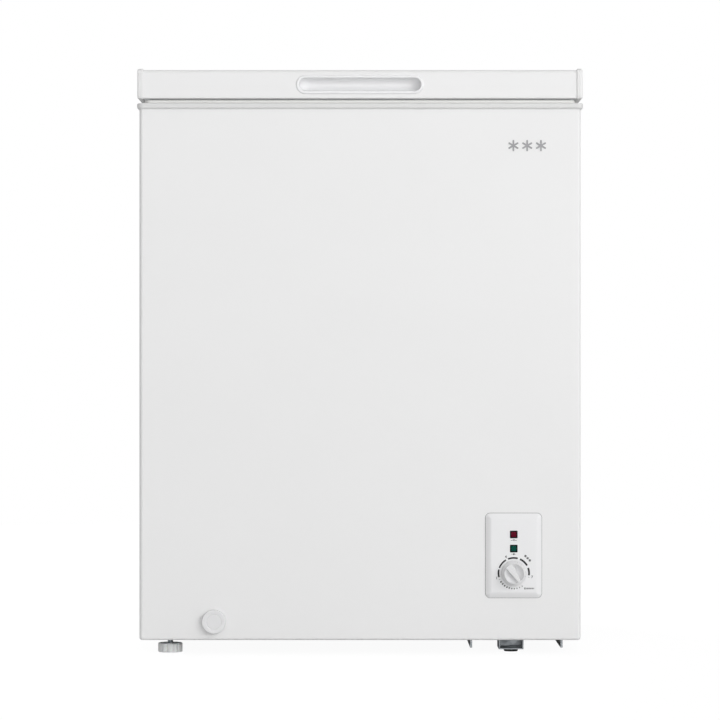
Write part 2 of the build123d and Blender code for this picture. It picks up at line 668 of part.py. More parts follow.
# ---- hinges ----
def hinge_base(cx):
    """Steel housing screwed to the back of the cabinet, with two ears for the pin."""
    base = block(cx - 19, cx + 19, BACK, BACK + 2, 690, 770)
    base += block(cx - 19, cx + 19, BACK + 2, BACK + 16, 698, 700)
    ear = [(BACK, 690), (BACK + 20, 698), (BACK + 27, 776), (BACK + 27, PIN_Z), (BACK + 7, PIN_Z),
           (BACK + 6, 771.5), (BACK, 770)]
    for x0 in (cx - 19, cx + 17):
        base += side_prism(ear, x0, x0 + 2) + rod_x(x0, x0 + 2, PIN_Y, PIN_Z, 10)
    for z in (712, 752):
        for dx in (-12.5, 12.5):
            base -= rod_y(cx + dx, BACK - 1, BACK + 3, z, 2.1)
    return base - rod_x(cx - 30, cx + 30, PIN_Y, PIN_Z, PIN_R + RUN_GAP)


def tail_place():
    """Roller centre on the hinge arm, lid shut."""
    a = radians(OPEN_DEG / 2)
    return PIN_Y - TAIL_R * cos(a), PIN_Z - TAIL_R * sin(a)


def hinge_arm(cx):
    """Steel arm screwed to the lid's back; its roller rides on the sprung plunger."""
    ty, tz = tail_place()
    arm = block(cx - 16.7, cx + 16.7, LID_Y1, LID_Y1 + 2, 789, 821)
    ear = [(LID_Y1, 789), (ty, tz - 4), (PIN_Y, PIN_Z - 8), (PIN_Y + 6, PIN_Z + 5), (LID_Y1 + 2, 817), (LID_Y1, 817)]
    for x0 in (cx - 16.7, cx + 14.7):
        arm += side_prism(ear, x0, x0 + 2)
        arm += rod_x(x0, x0 + 2, PIN_Y, PIN_Z, 8) + rod_x(x0, x0 + 2, ty, tz, 4.4)
    arm += rod_x(cx - 15, cx + 15, ty, tz, 3)
    for z in (799, 813):
        arm -= rod_y(cx, BACK, LID_Y1 + 5, z, 2.1)
    return arm - rod_x(cx - 30, cx + 30, PIN_Y, PIN_Z, PIN_R + RUN_GAP)


def hinge_pins():
    pins = []
    for cx in (-HINGE_X, HINGE_X):
        pin = rod_x(cx - 20.6, cx + 20.6, PIN_Y, PIN_Z, PIN_R)
        for x0 in (cx - 20.6, cx + 19.1):
            pin += rod_x(x0, x0 + 1.5, PIN_Y, PIN_Z, 6)
        pins.append(pin)
    return pins


def hinge_plungers():
    """Followers that the springs push up against the arms' rollers."""
    top = tail_place()[1] - 3 - 0.3
    plungers = []
    for cx in (-HINGE_X, HINGE_X):
        cap = rod_z(cx, PLUNGER_Y, 766, top, 4.2)
        plungers.append(cap + rod_z(cx, PLUNGER_Y, 722, 766, 2.4))
    return plungers


def hinge_springs():
    """Compression springs between the housings and the plungers."""
    wire, r, z0, z1, turns = 0.6, 3.4, 700.6, 765.4, 18
    springs = []
    for cx in (-HINGE_X, HINGE_X):
        line = Helix(pitch=(z1 - z0) / turns, height=z1 - z0, radius=r, center=(cx, PLUNGER_Y, z0))
        springs.append(sweep(Plane(line @ 0, z_dir=line % 0) * Circle(wire), path=line, is_frenet=True))
    return springs


def hinge_covers():
    """Plastic covers over the hinge housings."""
    covers = []
    for cx in (-HINGE_X, HINGE_X):
        cover = block(cx - 21.5, cx + 21.5, BACK, BACK + HINGE_REACH, 686, 771)
        cover = fillet(cover.edges().filter_by(Axis.Z).group_by(Axis.Y)[-1], 4)
        covers.append(cover - block(cx - 19.6, cx + 19.6, BACK - 1, BACK + HINGE_REACH - 1.6, 688, 772))
    return covers


def base_screw_places():
    return [(cx + dx, z) for cx in (-HINGE_X, HINGE_X) for dx in (-12.5, 12.5) for z in (712, 752)]


def arm_screw_places():
    return [(cx, z) for cx in (-HINGE_X, HINGE_X) for z in (799, 813)]


# ---- basket ----
def basket_rim():
    """Thick wire loop with a hanger bent over the frame at the front and the back."""
    r = 2.2
    x0, x1, y0, y1 = BASKET_X0, BASKET_X1, BASKET_Y0, BASKET_Y1
    xm, ym = (x0 + x1) / 2, (y0 + y1) / 2
    loop = RectangleRounded(x1 - x0, y1 - y0, 20).wire()
    loop = Pos(xm, ym, BASKET_RIM_Z) * loop
    rim = sweep(Plane(loop @ 0, z_dir=loop % 0) * Circle(r), path=loop)
    top = RIM_TOP + 2.3
    for y, out in ((y0, -14.0), (y1, 14.0)):
        points = [(xm - 45, y, BASKET_RIM_Z), (xm - 45, y, top), (xm - 45, y + out, top),
                  (xm + 45, y + out, top), (xm + 45, y, top), (xm + 45, y, BASKET_RIM_Z)]
        rim += tube_along(points, 2.0, 4.0)
    return rim


def basket_grids():
    """Welded wire panels: floor, left, right, front and back."""
    r = 1.5
    x0, x1, y0, y1, z0 = BASKET_X0, BASKET_X1, BASKET_Y0, BASKET_Y1, BASKET_FLOOR_Z
    z1 = BASKET_RIM_Z - 2.2
    low, gap = z0 + r, r + 0.05
    along_x = [x0 + (x1 - x0) * i / 10 for i in range(11)]
    along_y = [y0 + (y1 - y0) * i / 16 for i in range(17)]
    belts = [z0 + (z1 - z0) * i / 3 for i in (1, 2)]
    floor = Part() + [rod_y(x, y0 - r, y1 + r, z0, r) for x in along_x]
    floor += [rod_x(x0 - r, x1 + r, y, z0, r) for y in along_y[::2]]
    grids = [floor]
    for x in (x0, x1):
        side = Part() + [rod_z(x, y, low, z1, r) for y in along_y[1:-1]]
        grids.append(side + [rod_y(x, y0 + gap + r, y1 - gap - r, z, r) for z in belts])
    for y in (y0, y1):
        end = Part() + [rod_z(x, y, low, z1, r) for x in along_x[1:-1]]
        grids.append(end + [rod_x(x0 + gap + r, x1 - gap - r, y, z, r) for z in belts])
    return grids


# ---- write every sub-part ----
def save(name, shape):
    """One STEP file per node; a list becomes a group of separate solids."""
    if isinstance(shape, list):
        shape = Compound(children=shape)
    export_step(shape, f"parts/{name}.step")


def main():
    os.makedirs("parts", exist_ok=True)
    coils = {"condenser_coil": condenser_coil(), "evaporator_coil": evaporator_coil()}
    parts = {
        "outer_shell": outer_shell(),
        "rear_panel": rear_panel(),
        "bottom_panel": bottom_panel(),
        "foot_sockets": foot_sockets(),
        "bay_wall": bay_wall(),
        "inner_liner": inner_liner(),
        "cabinet_foam": cabinet_foam(coils.values()),
        "top_frame": top_frame(),
        "drain_tube": drain_tube(),
        "base_plate": base_plate(),
        "foot_brackets": foot_brackets(),
        "foot_pads": foot_pads(),
        "compressor_lower_shell": compressor_lower_shell(),
        "compressor_upper_shell": compressor_upper_shell(),
        "compressor_motor": compressor_motor(),
        "compressor_bracket": compressor_bracket(),
        "compressor_grommets": compressor_grommets(),
        "compressor_bolts": compressor_bolts(),
        "terminal_cover": terminal_cover(),
        "suction_tube": suction_tube(),
        "discharge_tube": discharge_tube(),
        "filter_drier": filter_drier(),
        "capillary_tube": capillary_tube(),
        "side_vent": side_vent(),
        "rear_cover": rear_cover(),
        "cord_gland": cord_gland(),
        "cover_screws": screws_at(cover_screw_places(), BACK + 1.5),
        "control_panel": control_panel(),
        "red_lens": lamp_lens(RED_Z),
        "green_lens": lamp_lens(GREEN_Z),
        "lamp_holders": lamp_holders(),
        "thermostat": thermostat(),
        "wiring_harness": wiring_harness(),
        "front_badge": front_badge(),
        "hinge_bases": [hinge_base(-HINGE_X), hinge_base(HINGE_X)],
        "hinge_pins": hinge_pins(),
        "hinge_covers": hinge_covers(),
        "hinge_base_screws": screws_at(base_screw_places(), BACK + 2),
        "lid_panel": lid_panel(),
        "lid_foam": lid_foam(),
        "lid_liner": lid_liner(),
        "lid_gasket": lid_gasket(),
        "right_end_cap": right_end_cap(),
        "left_end_cap": mirrored(right_end_cap()),
        "lid_handle": lid_handle(),
        "hinge_arms": [hinge_arm(-HINGE_X), hinge_arm(HINGE_X)],
        "hinge_arm_screws": screws_at(arm_screw_places(), LID_Y1 + 2),
        "hinge_plungers": hinge_plungers(),
        "hinge_springs": hinge_springs(),
        "knob": knob(),
        "knob_shaft": knob_shaft(),
        "drain_cap": drain_cap(),
        "drain_stopper": drain_stopper(),
        "front_foot": screw_foot(*foot_places()[0]),
        "rear_foot": screw_foot(*foot_places()[1]),
        "basket_rim": basket_rim(),
        "basket_grids": basket_grids(),
    }
    parts.update(coils)
    for name, shape in parts.items():
        save(name, shape)


main()
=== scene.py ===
import math
import bmesh
import bpy
from mathutils import Matrix, Vector


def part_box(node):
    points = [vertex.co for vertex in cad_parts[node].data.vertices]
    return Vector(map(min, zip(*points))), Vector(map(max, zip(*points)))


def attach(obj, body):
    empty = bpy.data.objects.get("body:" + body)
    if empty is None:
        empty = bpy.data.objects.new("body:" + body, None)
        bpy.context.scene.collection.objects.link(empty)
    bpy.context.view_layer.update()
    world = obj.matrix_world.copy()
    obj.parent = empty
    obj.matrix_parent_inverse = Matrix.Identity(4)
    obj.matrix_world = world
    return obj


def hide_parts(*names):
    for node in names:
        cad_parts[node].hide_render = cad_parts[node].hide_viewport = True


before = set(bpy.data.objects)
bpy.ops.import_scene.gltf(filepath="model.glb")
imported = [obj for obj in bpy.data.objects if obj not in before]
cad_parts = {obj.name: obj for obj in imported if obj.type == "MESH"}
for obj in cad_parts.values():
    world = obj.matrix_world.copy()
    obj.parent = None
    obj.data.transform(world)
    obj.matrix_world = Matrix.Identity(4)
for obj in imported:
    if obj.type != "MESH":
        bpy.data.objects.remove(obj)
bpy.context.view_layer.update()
mm = 0.001
evenStep = 0.5 * mm            # narrow flat step that keeps the shading of the wide face inside it even


def linear(hexCode):
    # sRGB hex to the linear values that shaders want
    parts = [int(hexCode[i:i + 2], 16) / 255 for i in (1, 3, 5)]
    return [c / 12.92 if c <= 0.04045 else ((c + 0.055) / 1.055) ** 2.4 for c in parts] + [1.0]


def addNode(tree, kind, settings=None, links=None):
    # one node with its settings; a socket value may be a number, a colour or another socket
    node = tree.nodes.new(kind)
    for name, value in (settings or {}).items():
        setattr(node, name, value)
    for name, value in (links or {}).items():
        if isinstance(value, bpy.types.NodeSocket):
            tree.links.new(value, node.inputs[name])
        else:
            node.inputs[name].default_value = value
    return node


def newMaterial(name, shader):
    # empty material with a Principled shader and object coordinates
    mat = bpy.data.materials.new(name)
    mat.use_nodes = True
    tree = mat.node_tree
    bsdf = tree.nodes["Principled BSDF"]
    for key, value in shader.items():
        bsdf.inputs[key].default_value = value
    coords = addNode(tree, "ShaderNodeTexCoord")
    return mat, tree, bsdf, coords.outputs["Object"]


def surface(name, shader, tones, toneScale, rough, roughScale, bumps):
    # colour drift between two tones, roughness drift between two values, and stacked noise bumps
    mat, tree, bsdf, place = newMaterial(name, shader)
    drift = addNode(tree, "ShaderNodeTexNoise", None, {"Vector": place, "Scale": toneScale, "Detail": 3.0})
    ramp = addNode(tree, "ShaderNodeValToRGB", None, {"Fac": drift.outputs["Fac"]})
    ramp.color_ramp.elements[0].position, ramp.color_ramp.elements[1].position = 0.3, 0.7
    ramp.color_ramp.elements[0].color, ramp.color_ramp.elements[1].color = linear(tones[0]), linear(tones[1])
    tree.links.new(ramp.outputs["Color"], bsdf.inputs["Base Color"])
    haze = addNode(tree, "ShaderNodeTexNoise", None, {"Vector": place, "Scale": roughScale, "Detail": 4.0})
    span = addNode(tree, "ShaderNodeMapRange", None, {
        "Value": haze.outputs["Fac"], "From Min": 0.3, "From Max": 0.7, "To Min": rough[0], "To Max": rough[1]})
    tree.links.new(span.outputs["Result"], bsdf.inputs["Roughness"])
    last = None
    for scale, height, strength in bumps:
        grain = addNode(tree, "ShaderNodeTexNoise", None, {"Vector": place, "Scale": scale, "Detail": 2.0})
        links = {"Height": grain.outputs["Fac"], "Distance": height, "Strength": strength}
        if last:
            links["Normal"] = last
        last = addNode(tree, "ShaderNodeBump", None, links).outputs["Normal"]
    if last:
        tree.links.new(last, bsdf.inputs["Normal"])
    return mat


def wear(mat, hexCode, scale, low, high):
    # a second colour where a noise field passes a threshold, such as dust, oxide or rubbed spots
    tree = mat.node_tree
    bsdf = tree.nodes["Principled BSDF"]
    base = bsdf.inputs["Base Color"].links[0].from_socket
    coords = addNode(tree, "ShaderNodeTexCoord")
    spots = addNode(tree, "ShaderNodeTexNoise", None,
                    {"Vector": coords.outputs["Object"], "Scale": scale, "Detail": 6.0, "Roughness": 0.7})
    gate = addNode(tree, "ShaderNodeMapRange", None,
                   {"Value": spots.outputs["Fac"], "From Min": low, "From Max": high, "To Min": 0.0, "To Max": 1.0})
    blend = addNode(tree, "ShaderNodeMix", {"data_type": "RGBA"}, {"Factor": gate.outputs["Result"]})
    tree.links.new(base, blend.inputs[6])
    blend.inputs[7].default_value = linear(hexCode)
    tree.links.new(blend.outputs[2], bsdf.inputs["Base Color"])
    return mat


def keep(bm, name, mat, body, replaced=(), smooth=35):
    # bmesh to a finished piece that rides on a body; edges sharper than the angle stay crisp
    bmesh.ops.remove_doubles(bm, verts=bm.verts, dist=0.000002)
    mesh = bpy.data.meshes.new(name)
    bm.to_mesh(mesh)
    bm.free()
    mesh.materials.append(mat)
    mesh.shade_smooth()
    if smooth:
        mesh.set_sharp_from_angle(angle=math.radians(smooth))
    piece = bpy.data.objects.new(name, mesh)
    bpy.context.scene.collection.objects.link(piece)
    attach(piece, body)
    if replaced:
        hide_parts(*replaced)
    return piece


def blank(bm, width, height, corner, segments=8):
    # rounded rectangle in the XZ plane, facing the front; stepIn builds on it
    before = set(bm.verts)
    bmesh.ops.create_grid(bm, x_segments=1, y_segments=1, size=0.5,
                          matrix=Matrix.Rotation(math.pi / 2, 4, "X") @ Matrix.Diagonal((width, height, 1, 1)))
    corners = [v for v in bm.verts if v not in before]
    bmesh.ops.bevel(bm, geom=corners, offset=corner, segments=segments, profile=0.5, affect="VERTICES", material=-1)
    face = next(v for v in bm.verts if v not in before).link_faces[0]
    if face.normal.y > 0:
        face.normal_flip()
    return {"face": face, "half": (width / 2, height / 2), "corner": corner}


def stepIn(bm, plate, steps):
    # each step adds a rim, shrinks the face across and up, and moves it towards the front;
    # the corner radius shrinks with it, down to a tight mitre, or is given as a fourth number
    face = plate["face"]
    for step in steps:
        across, up, rise, *given = step if len(step) > 2 else (step[0], step[0], step[1])
        bmesh.ops.inset_region(bm, faces=[face], thickness=0, use_boundary=True)
        (oldX, oldZ), corner = plate["half"], plate["corner"]
        plate["half"] = (oldX - across, oldZ - up)
        plate["corner"] = given[0] if given else max(corner - min(across, up), 0.15 * mm)
        for v in face.verts:
            turnX = (abs(v.co.x) - oldX + corner) / corner * plate["corner"]
            turnZ = (abs(v.co.z) - oldZ + corner) / corner * plate["corner"]
            v.co = (math.copysign(plate["half"][0] - plate["corner"] + turnX, v.co.x), v.co.y - rise,
                    math.copysign(plate["half"][1] - plate["corner"] + turnZ, v.co.z))
    return plate


def closeBack(bm):
    # caps every open outline
    bmesh.ops.remove_doubles(bm, verts=bm.verts, dist=0.000002)
    bmesh.ops.holes_fill(bm, edges=[e for e in bm.edges if e.is_boundary], sides=0)
    bmesh.ops.recalc_face_normals(bm, faces=bm.faces)


def arcSteps(inset, rise, parts, hollow=False):
    # quarter-round profile as inset and rise steps: round over, or hollow out
    steps, last = [], (0.0, 0.0)
    for i in range(1, parts + 1):
        a = math.pi / 2 * i / parts
        here = (inset * (1 - math.cos(a)), rise * math.sin(a))
        if hollow:
            here = (inset * math.sin(a), rise * (1 - math.cos(a)))
        steps.append((here[0] - last[0], here[1] - last[1]))
        last = here
    return steps


def turned(points, axis, centre, turns=64):
    # closed lathe piece: a profile of (radius, height) points spun once about an axis through centre
    bm = bmesh.new()
    side = Vector((1, 0, 0))
    made = [bm.verts.new(centre + side * r + axis * h) for r, h in points]
    edges = [bm.edges.new(pair) for pair in zip(made, made[1:])]
    bmesh.ops.spin(bm, geom=made + edges, cent=centre, axis=axis, angle=math.tau, steps=turns, use_merge=True)
    # the first and last rings are a hair wide, so they close into poles
    for ring in (0, -1):
        r, h = points[ring]
        pole = centre + axis * h
        bmesh.ops.pointmerge(bm, verts=[v for v in bm.verts if (v.co - pole).length < r * 1.5], merge_co=pole)
    bmesh.ops.recalc_face_normals(bm, faces=bm.faces)
    return bm


print("helpers ready")

studio = {
    "lens": 151.9,             # mm, for a 36 mm sensor
    "distance": 4.30,          # from the cabinet's front
    "eyeHeight": 0.4166,
    "white": "#FFFFFF",
    "worldLevel": 0.37,
    # watts, width and height of the light, place; each aims at the middle of the cabinet
    "lights": {
        "keySoftbox": (208.0, (4.4, 4.4), (5.2, -5.2, 2.9)),
        "topSoftbox": (58.0, (5.0, 5.0), (0.4, -3.6, 7.2)),
        "frontSoftbox": (120.0, (6.0, 3.6), (0.9, -5.8, 1.0)),
        "backFill": (140.0, (2.5, 2.5), (-3.8, 4.6, 3.0)),
    },
    "floorRadius": 3.2,
    "floorGlow": 0.95,         # keeps the shadow on the paper faint
}

scene = bpy.context.scene
scene.view_settings.view_transform = "Standard"
cabinetLow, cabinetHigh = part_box("outer_shell")
frontY = cabinetLow.y

lensData = bpy.data.cameras.new("studioCamera")
lensData.lens = studio["lens"]
lensData.clip_end = 60
camera = bpy.data.objects.new("studioCamera", lensData)
camera.location = (0, frontY - studio["distance"], studio["eyeHeight"])
camera.rotation_euler = (math.pi / 2, 0, 0)
scene.collection.objects.link(camera)
scene.camera = camera


def softbox(name, watts, size, place, aim):
    data = bpy.data.lights.new(name, "AREA")
    data.energy, data.shape, data.size, data.size_y = watts, "RECTANGLE", size[0], size[1]
    lamp = bpy.data.objects.new(name, data)
    lamp.location = place
    lamp.rotation_euler = (Vector(aim) - Vector(place)).to_track_quat("-Z", "Y").to_euler()
    scene.collection.objects.link(lamp)
    return lamp


for name, (watts, size, place) in studio["lights"].items():
    softbox(name, watts, size, place, (0, 0, 0.4))

world = bpy.data.worlds.new("studioWorld")
world.use_nodes = True
world.node_tree.nodes["Background"].inputs["Color"].default_value = linear(studio["white"])
world.node_tree.nodes["Background"].inputs["Strength"].default_value = studio["worldLevel"]
scene.world = world

floorFinish = {"Specular IOR Level": 0.1, "Emission Color": linear(studio["white"])}
paper = surface("white paper floor", {**floorFinish, "Emission Strength": studio["floorGlow"]},
                ("#404040", "#444444"), 1.5, (0.85, 0.95), 3.0, [])
bounce = surface("grey studio bounce", {"Specular IOR Level": 0.1},
                 ("#DADADA", "#DEDEDE"), 1.5, (0.85, 0.95), 3.0, [])


def stageFloor(name, mat, level, hiddenFrom):
    # flat disc; the paper is what the camera sees, the bounce board is what lights the object from below
    bm = bmesh.new()
    bmesh.ops.create_circle(bm, cap_ends=True, segments=96, radius=studio["floorRadius"])
    bmesh.ops.translate(bm, verts=bm.verts, vec=(0, 0, level))
    mesh = bpy.data.meshes.new(name)
    bm.to_mesh(mesh)
    bm.free()
    mesh.materials.append(mat)
    disc = bpy.data.objects.new(name, mesh)
    scene.collection.objects.link(disc)
    for ray in hiddenFrom:
        setattr(disc, ray, False)


stageFloor("studioFloor", paper, 0.0, ("visible_diffuse", "visible_glossy", "visible_transmission", "visible_shadow"))
stageFloor("studioBounce", bounce, -0.4 * mm, ("visible_camera",))

# pale dome that only the camera sees, so the surroundings read as white paper
bm = bmesh.new()
bmesh.ops.create_uvsphere(bm, u_segments=48, v_segments=24, radius=13.5)
mesh = bpy.data.meshes.new("studioDome")
bm.to_mesh(mesh)
bm.free()
dome = bpy.data.objects.new("studioDome", mesh)
scene.collection.objects.link(dome)
domeMat, _, domeShader, _ = newMaterial("white paper backdrop", {"Base Color": linear("#000000")})
domeShader.inputs["Emission Color"].default_value = linear(studio["white"])
domeShader.inputs["Emission Strength"].default_value = 1.0
domeShader.inputs["Specular IOR Level"].default_value = 0.0
mesh.materials.append(domeMat)
for ray in ("visible_diffuse", "visible_glossy", "visible_transmission", "visible_shadow"):
    setattr(dome, ray, False)
print("stage ready")

# a noise scale is 1 / its size in metres, so 650 is 1.5 mm; grain that is really under about 0.3 mm,
# such as plastic grain, ink and brushed metal, is drawn 0.3 to 1.4 mm across so that it shows

# powder-coated steel: white, satin, with the fine orange peel of a baked coat (1.5 mm swells)
whiteSteel = surface("white powder coated steel", {"IOR": 1.5, "Specular IOR Level": 0.45},
                    ("#E8E8E8", "#EAEAEA"), 2.0, (0.36, 0.43), 9.0, [(650, 0.00005, 0.35), (90, 0.0001, 0.2)])

# coil-coated back sheet: thinner, flatter paint than the front, faint 30 mm rolling waves
backSteel = surface("white coil coated steel", {"IOR": 1.5, "Specular IOR Level": 0.4},
                   ("#DEDEDC", "#E4E4E2"), 3.0, (0.42, 0.55), 14.0, [(900, 0.00004, 0.3), (30, 0.0002, 0.12)])
wear(backSteel, "#CFCFCB", 7.0, 0.62, 0.9)

# moulded polypropylene: white, spark-eroded mould grain of about 0.8 mm, duller than paint
sparkPlastic = surface("white moulded polypropylene", {"IOR": 1.49, "Specular IOR Level": 0.4},
                      ("#E6E6E6", "#EAEAE9"), 6.0, (0.46, 0.56), 25.0, [(1250, 0.00006, 0.5), (160, 0.00008, 0.15)])

# moulded frame round the tub: the same plastic, in a greyer white than the lid's ends
framePlastic = surface("grey white moulded polypropylene", {"IOR": 1.49, "Specular IOR Level": 0.35},
                       ("#D9D9D9", "#DDDDDC"), 6.0, (0.48, 0.58), 25.0, [(1250, 0.00006, 0.5), (160, 0.00008, 0.15)])

# polished polystyrene: the tool was polished, so it is smooth with slight sink waves, 22 mm apart
glossStyrene = surface("white polished polystyrene", {"IOR": 1.59, "Specular IOR Level": 0.5},
                      ("#E7E7E8", "#E9E9EA"), 4.0, (0.3, 0.33), 12.0, [(45, 0.00005, 0.06)])

# thermoformed polystyrene sheet: stretched over the former, so the gloss drifts and it waves every 40 mm
tubStyrene = surface("white thermoformed polystyrene", {"IOR": 1.59, "Specular IOR Level": 0.5},
                    ("#E3E6E8", "#E9EBEC"), 3.5, (0.22, 0.38), 5.0, [(26, 0.0006, 0.18), (420, 0.00004, 0.2)])

# acrylonitrile knob and cap plastic: slightly grey, fine satin
paleAbs = surface("pale grey ABS", {"IOR": 1.54, "Specular IOR Level": 0.5},
                 ("#DEDEDF", "#E3E3E4"), 12.0, (0.28, 0.36), 60.0, [(1500, 0.00003, 0.3)])

# nylon screw foot: milky, slightly rough
paleNylon = surface("natural nylon", {"IOR": 1.53, "Specular IOR Level": 0.4, "Subsurface Weight": 0.05},
                   ("#ECECEB", "#F2F2F1"), 30.0, (0.42, 0.52), 80.0, [(900, 0.00005, 0.4)])

# soft vinyl seal: matt, a touch warmer than the paint
vinyl = surface("soft white vinyl", {"IOR": 1.52, "Specular IOR Level": 0.3},
               ("#DEDEDC", "#E4E4E2"), 20.0, (0.55, 0.68), 40.0, [(700, 0.0001, 0.35)])

# hard vinyl clip that holds the seal: coloured dark grey as painted shade, so the joint reads as a dark line
clipShadeVinyl = surface("dark grey vinyl painted as joint shade", {"IOR": 1.52, "Specular IOR Level": 0.2},
                    ("#3C3C3C", "#464645"), 20.0, (0.6, 0.7), 40.0, [(700, 0.0001, 0.3)])

# rubber: moulded, near black, with a bloom of grey dust
rubber = surface("black moulded rubber", {"IOR": 1.52, "Specular IOR Level": 0.3},
                ("#161616", "#222221"), 40.0, (0.7, 0.85), 60.0, [(1100, 0.0001, 0.5)])
wear(rubber, "#3A3937", 60.0, 0.55, 0.8)

# glass-filled nylon boxes behind the panel: black, fibres just showing in the sheen
blackNylon = surface("black glass filled nylon", {"IOR": 1.53, "Specular IOR Level": 0.1},
                     ("#070708", "#0E0E0F"), 50.0, (0.45, 0.6), 300.0, [(1400, 0.00005, 0.4)])

# baked enamel on the compressor: black, glossy, runs and dust on the top
enamel = surface("black baked enamel", {"IOR": 1.5, "Coat Weight": 0.3, "Coat Roughness": 0.2},
                ("#0B0B0C", "#141415"), 10.0, (0.28, 0.42), 30.0, [(160, 0.0002, 0.3)])
wear(enamel, "#4B4A46", 24.0, 0.6, 0.85)

# grey iron casting of the motor block
castIron = surface("grey cast iron", {"Metallic": 1.0}, ("#4A4743", "#5D5955"), 60.0, (0.55, 0.75), 120.0,
                  [(500, 0.0004, 0.6)])

# drawn copper: warm, browned by handling and brazing heat
copper = surface("drawn copper tube", {"Metallic": 1.0}, ("#C07A56", "#D08C68"), 45.0, (0.24, 0.4), 160.0,
                [(900, 0.00005, 0.3)])
wear(copper, "#6E4632", 36.0, 0.58, 0.8)

# drawn aluminium: soft grey shine
aluminium = surface("drawn aluminium tube", {"Metallic": 1.0}, ("#BFC0C1", "#CACBCC"), 40.0, (0.32, 0.45), 140.0,
                   [(800, 0.00005, 0.3)])

# zinc-plated screws, pins and springs: bright, bluish, fine scratches
zinc = surface("bright zinc plate", {"Metallic": 1.0}, ("#B9BDC1", "#CDD0D2"), 150.0, (0.2, 0.38), 500.0,
              [(2200, 0.00004, 0.4)])
wear(zinc, "#8E9092", 220.0, 0.56, 0.8)

# rigid foam: cast, cream, closed cells of about 1 mm under a skin
foamMat = surface("cast polyurethane foam", {"IOR": 1.4, "Specular IOR Level": 0.2},
                 ("#DCC98F", "#EADBA8"), 14.0, (0.8, 0.95), 60.0, [(900, 0.0008, 0.6), (70, 0.001, 0.4)])

# vinyl-dipped wire: thick white coat that pulls round at the welds
dippedWire = surface("white vinyl dipped wire", {"IOR": 1.52, "Specular IOR Level": 0.5},
                    ("#E4E4E3", "#ECECEB"), 20.0, (0.26, 0.36), 70.0, [(260, 0.0003, 0.3)])

# screen-printed ink: charcoal, dry, slightly uneven lay-down
inkPrint = surface("charcoal screen ink", {"IOR": 1.48, "Specular IOR Level": 0.2},
                  ("#262628", "#323234"), 400.0, (0.6, 0.75), 500.0, [(3000, 0.00002, 0.5)])

# pad-printed numerals on the knob's skirt: thin pale grey, slightly patchy
paleInk = surface("pale grey pad print", {"IOR": 1.48, "Specular IOR Level": 0.2}, ("#9A9A9C", "#A8A8AA"), 400.0,
                  (0.5, 0.6), 500.0, [])

# grey foil of the frost mark on the front
greyFoil = surface("hot stamped grey foil", {"Metallic": 0.15, "IOR": 1.5},
                  ("#8C8C8E", "#9E9EA0"), 120.0, (0.32, 0.42), 300.0, [(1800, 0.00002, 0.3)])


def galvanised():
    # hot-dip zinc: crystals about 7 mm across, each with its own grey and shine, white oxide in patches
    mat, tree, bsdf, place = newMaterial("galvanised steel", {"Metallic": 1.0})
    spangle = addNode(tree, "ShaderNodeTexVoronoi", {"feature": "F1"},
                      {"Vector": place, "Scale": 140.0, "Randomness": 1.0})
    tone = addNode(tree, "ShaderNodeSeparateColor", None, {"Color": spangle.outputs["Color"]})
    ramp = addNode(tree, "ShaderNodeValToRGB", None, {"Fac": tone.outputs["Red"]})
    ramp.color_ramp.elements[0].color, ramp.color_ramp.elements[1].color = linear("#9FA4A8"), linear("#B7BBBE")
    oxide = addNode(tree, "ShaderNodeTexNoise", None,
                    {"Vector": place, "Scale": 16.0, "Detail": 6.0, "Roughness": 0.65})
    gate = addNode(tree, "ShaderNodeMapRange", None,
                   {"Value": oxide.outputs["Fac"], "From Min": 0.55, "From Max": 0.78, "To Min": 0.0, "To Max": 0.55})
    blend = addNode(tree, "ShaderNodeMix", {"data_type": "RGBA"}, {"Factor": gate.outputs["Result"]})
    tree.links.new(ramp.outputs["Color"], blend.inputs[6])
    blend.inputs[7].default_value = linear("#C9CCCD")
    tree.links.new(blend.outputs[2], bsdf.inputs["Base Color"])
    shine = addNode(tree, "ShaderNodeMapRange", None,
                    {"Value": tone.outputs["Green"], "From Min": 0.0, "From Max": 1.0, "To Min": 0.3, "To Max": 0.5})
    tree.links.new(shine.outputs["Result"], bsdf.inputs["Roughness"])
    pits = addNode(tree, "ShaderNodeTexNoise", None, {"Vector": place, "Scale": 700.0, "Detail": 2.0})
    bump = addNode(tree, "ShaderNodeBump", None,
                   {"Height": pits.outputs["Fac"], "Distance": 0.0001, "Strength": 0.25})
    tree.links.new(bump.outputs["Normal"], bsdf.inputs["Normal"])
    return mat


def lensPlastic(name, node, deep, bright):
    # tinted acrylic: each 2.3 mm prism square gets a painted highlight in its middle, under a face etched against
    # glare
    mat, tree, bsdf, place = newMaterial(name, {"IOR": 1.49, "Roughness": 0.3, "Specular IOR Level": 0.06})
    low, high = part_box(node)
    centred = addNode(tree, "ShaderNodeMapping", None, {"Vector": place, "Location": (low + high) / -2})
    prisms = addNode(tree, "ShaderNodeTexVoronoi",
                     {"feature": "F1", "distance": "CHEBYCHEV", "voronoi_dimensions": "3D"},
                     {"Vector": centred.outputs["Vector"], "Scale": 441.0, "Randomness": 0.0})
    ramp = addNode(tree, "ShaderNodeValToRGB", None, {"Fac": prisms.outputs["Distance"]})
    # the lighter tone at each square's middle is a painted highlight
    ramp.color_ramp.elements[0].color, ramp.color_ramp.elements[1].color = linear(bright), linear(deep)
    ramp.color_ramp.elements[0].position, ramp.color_ramp.elements[1].position = 0.15, 0.55
    tree.links.new(ramp.outputs["Color"], bsdf.inputs["Base Color"])
    return mat


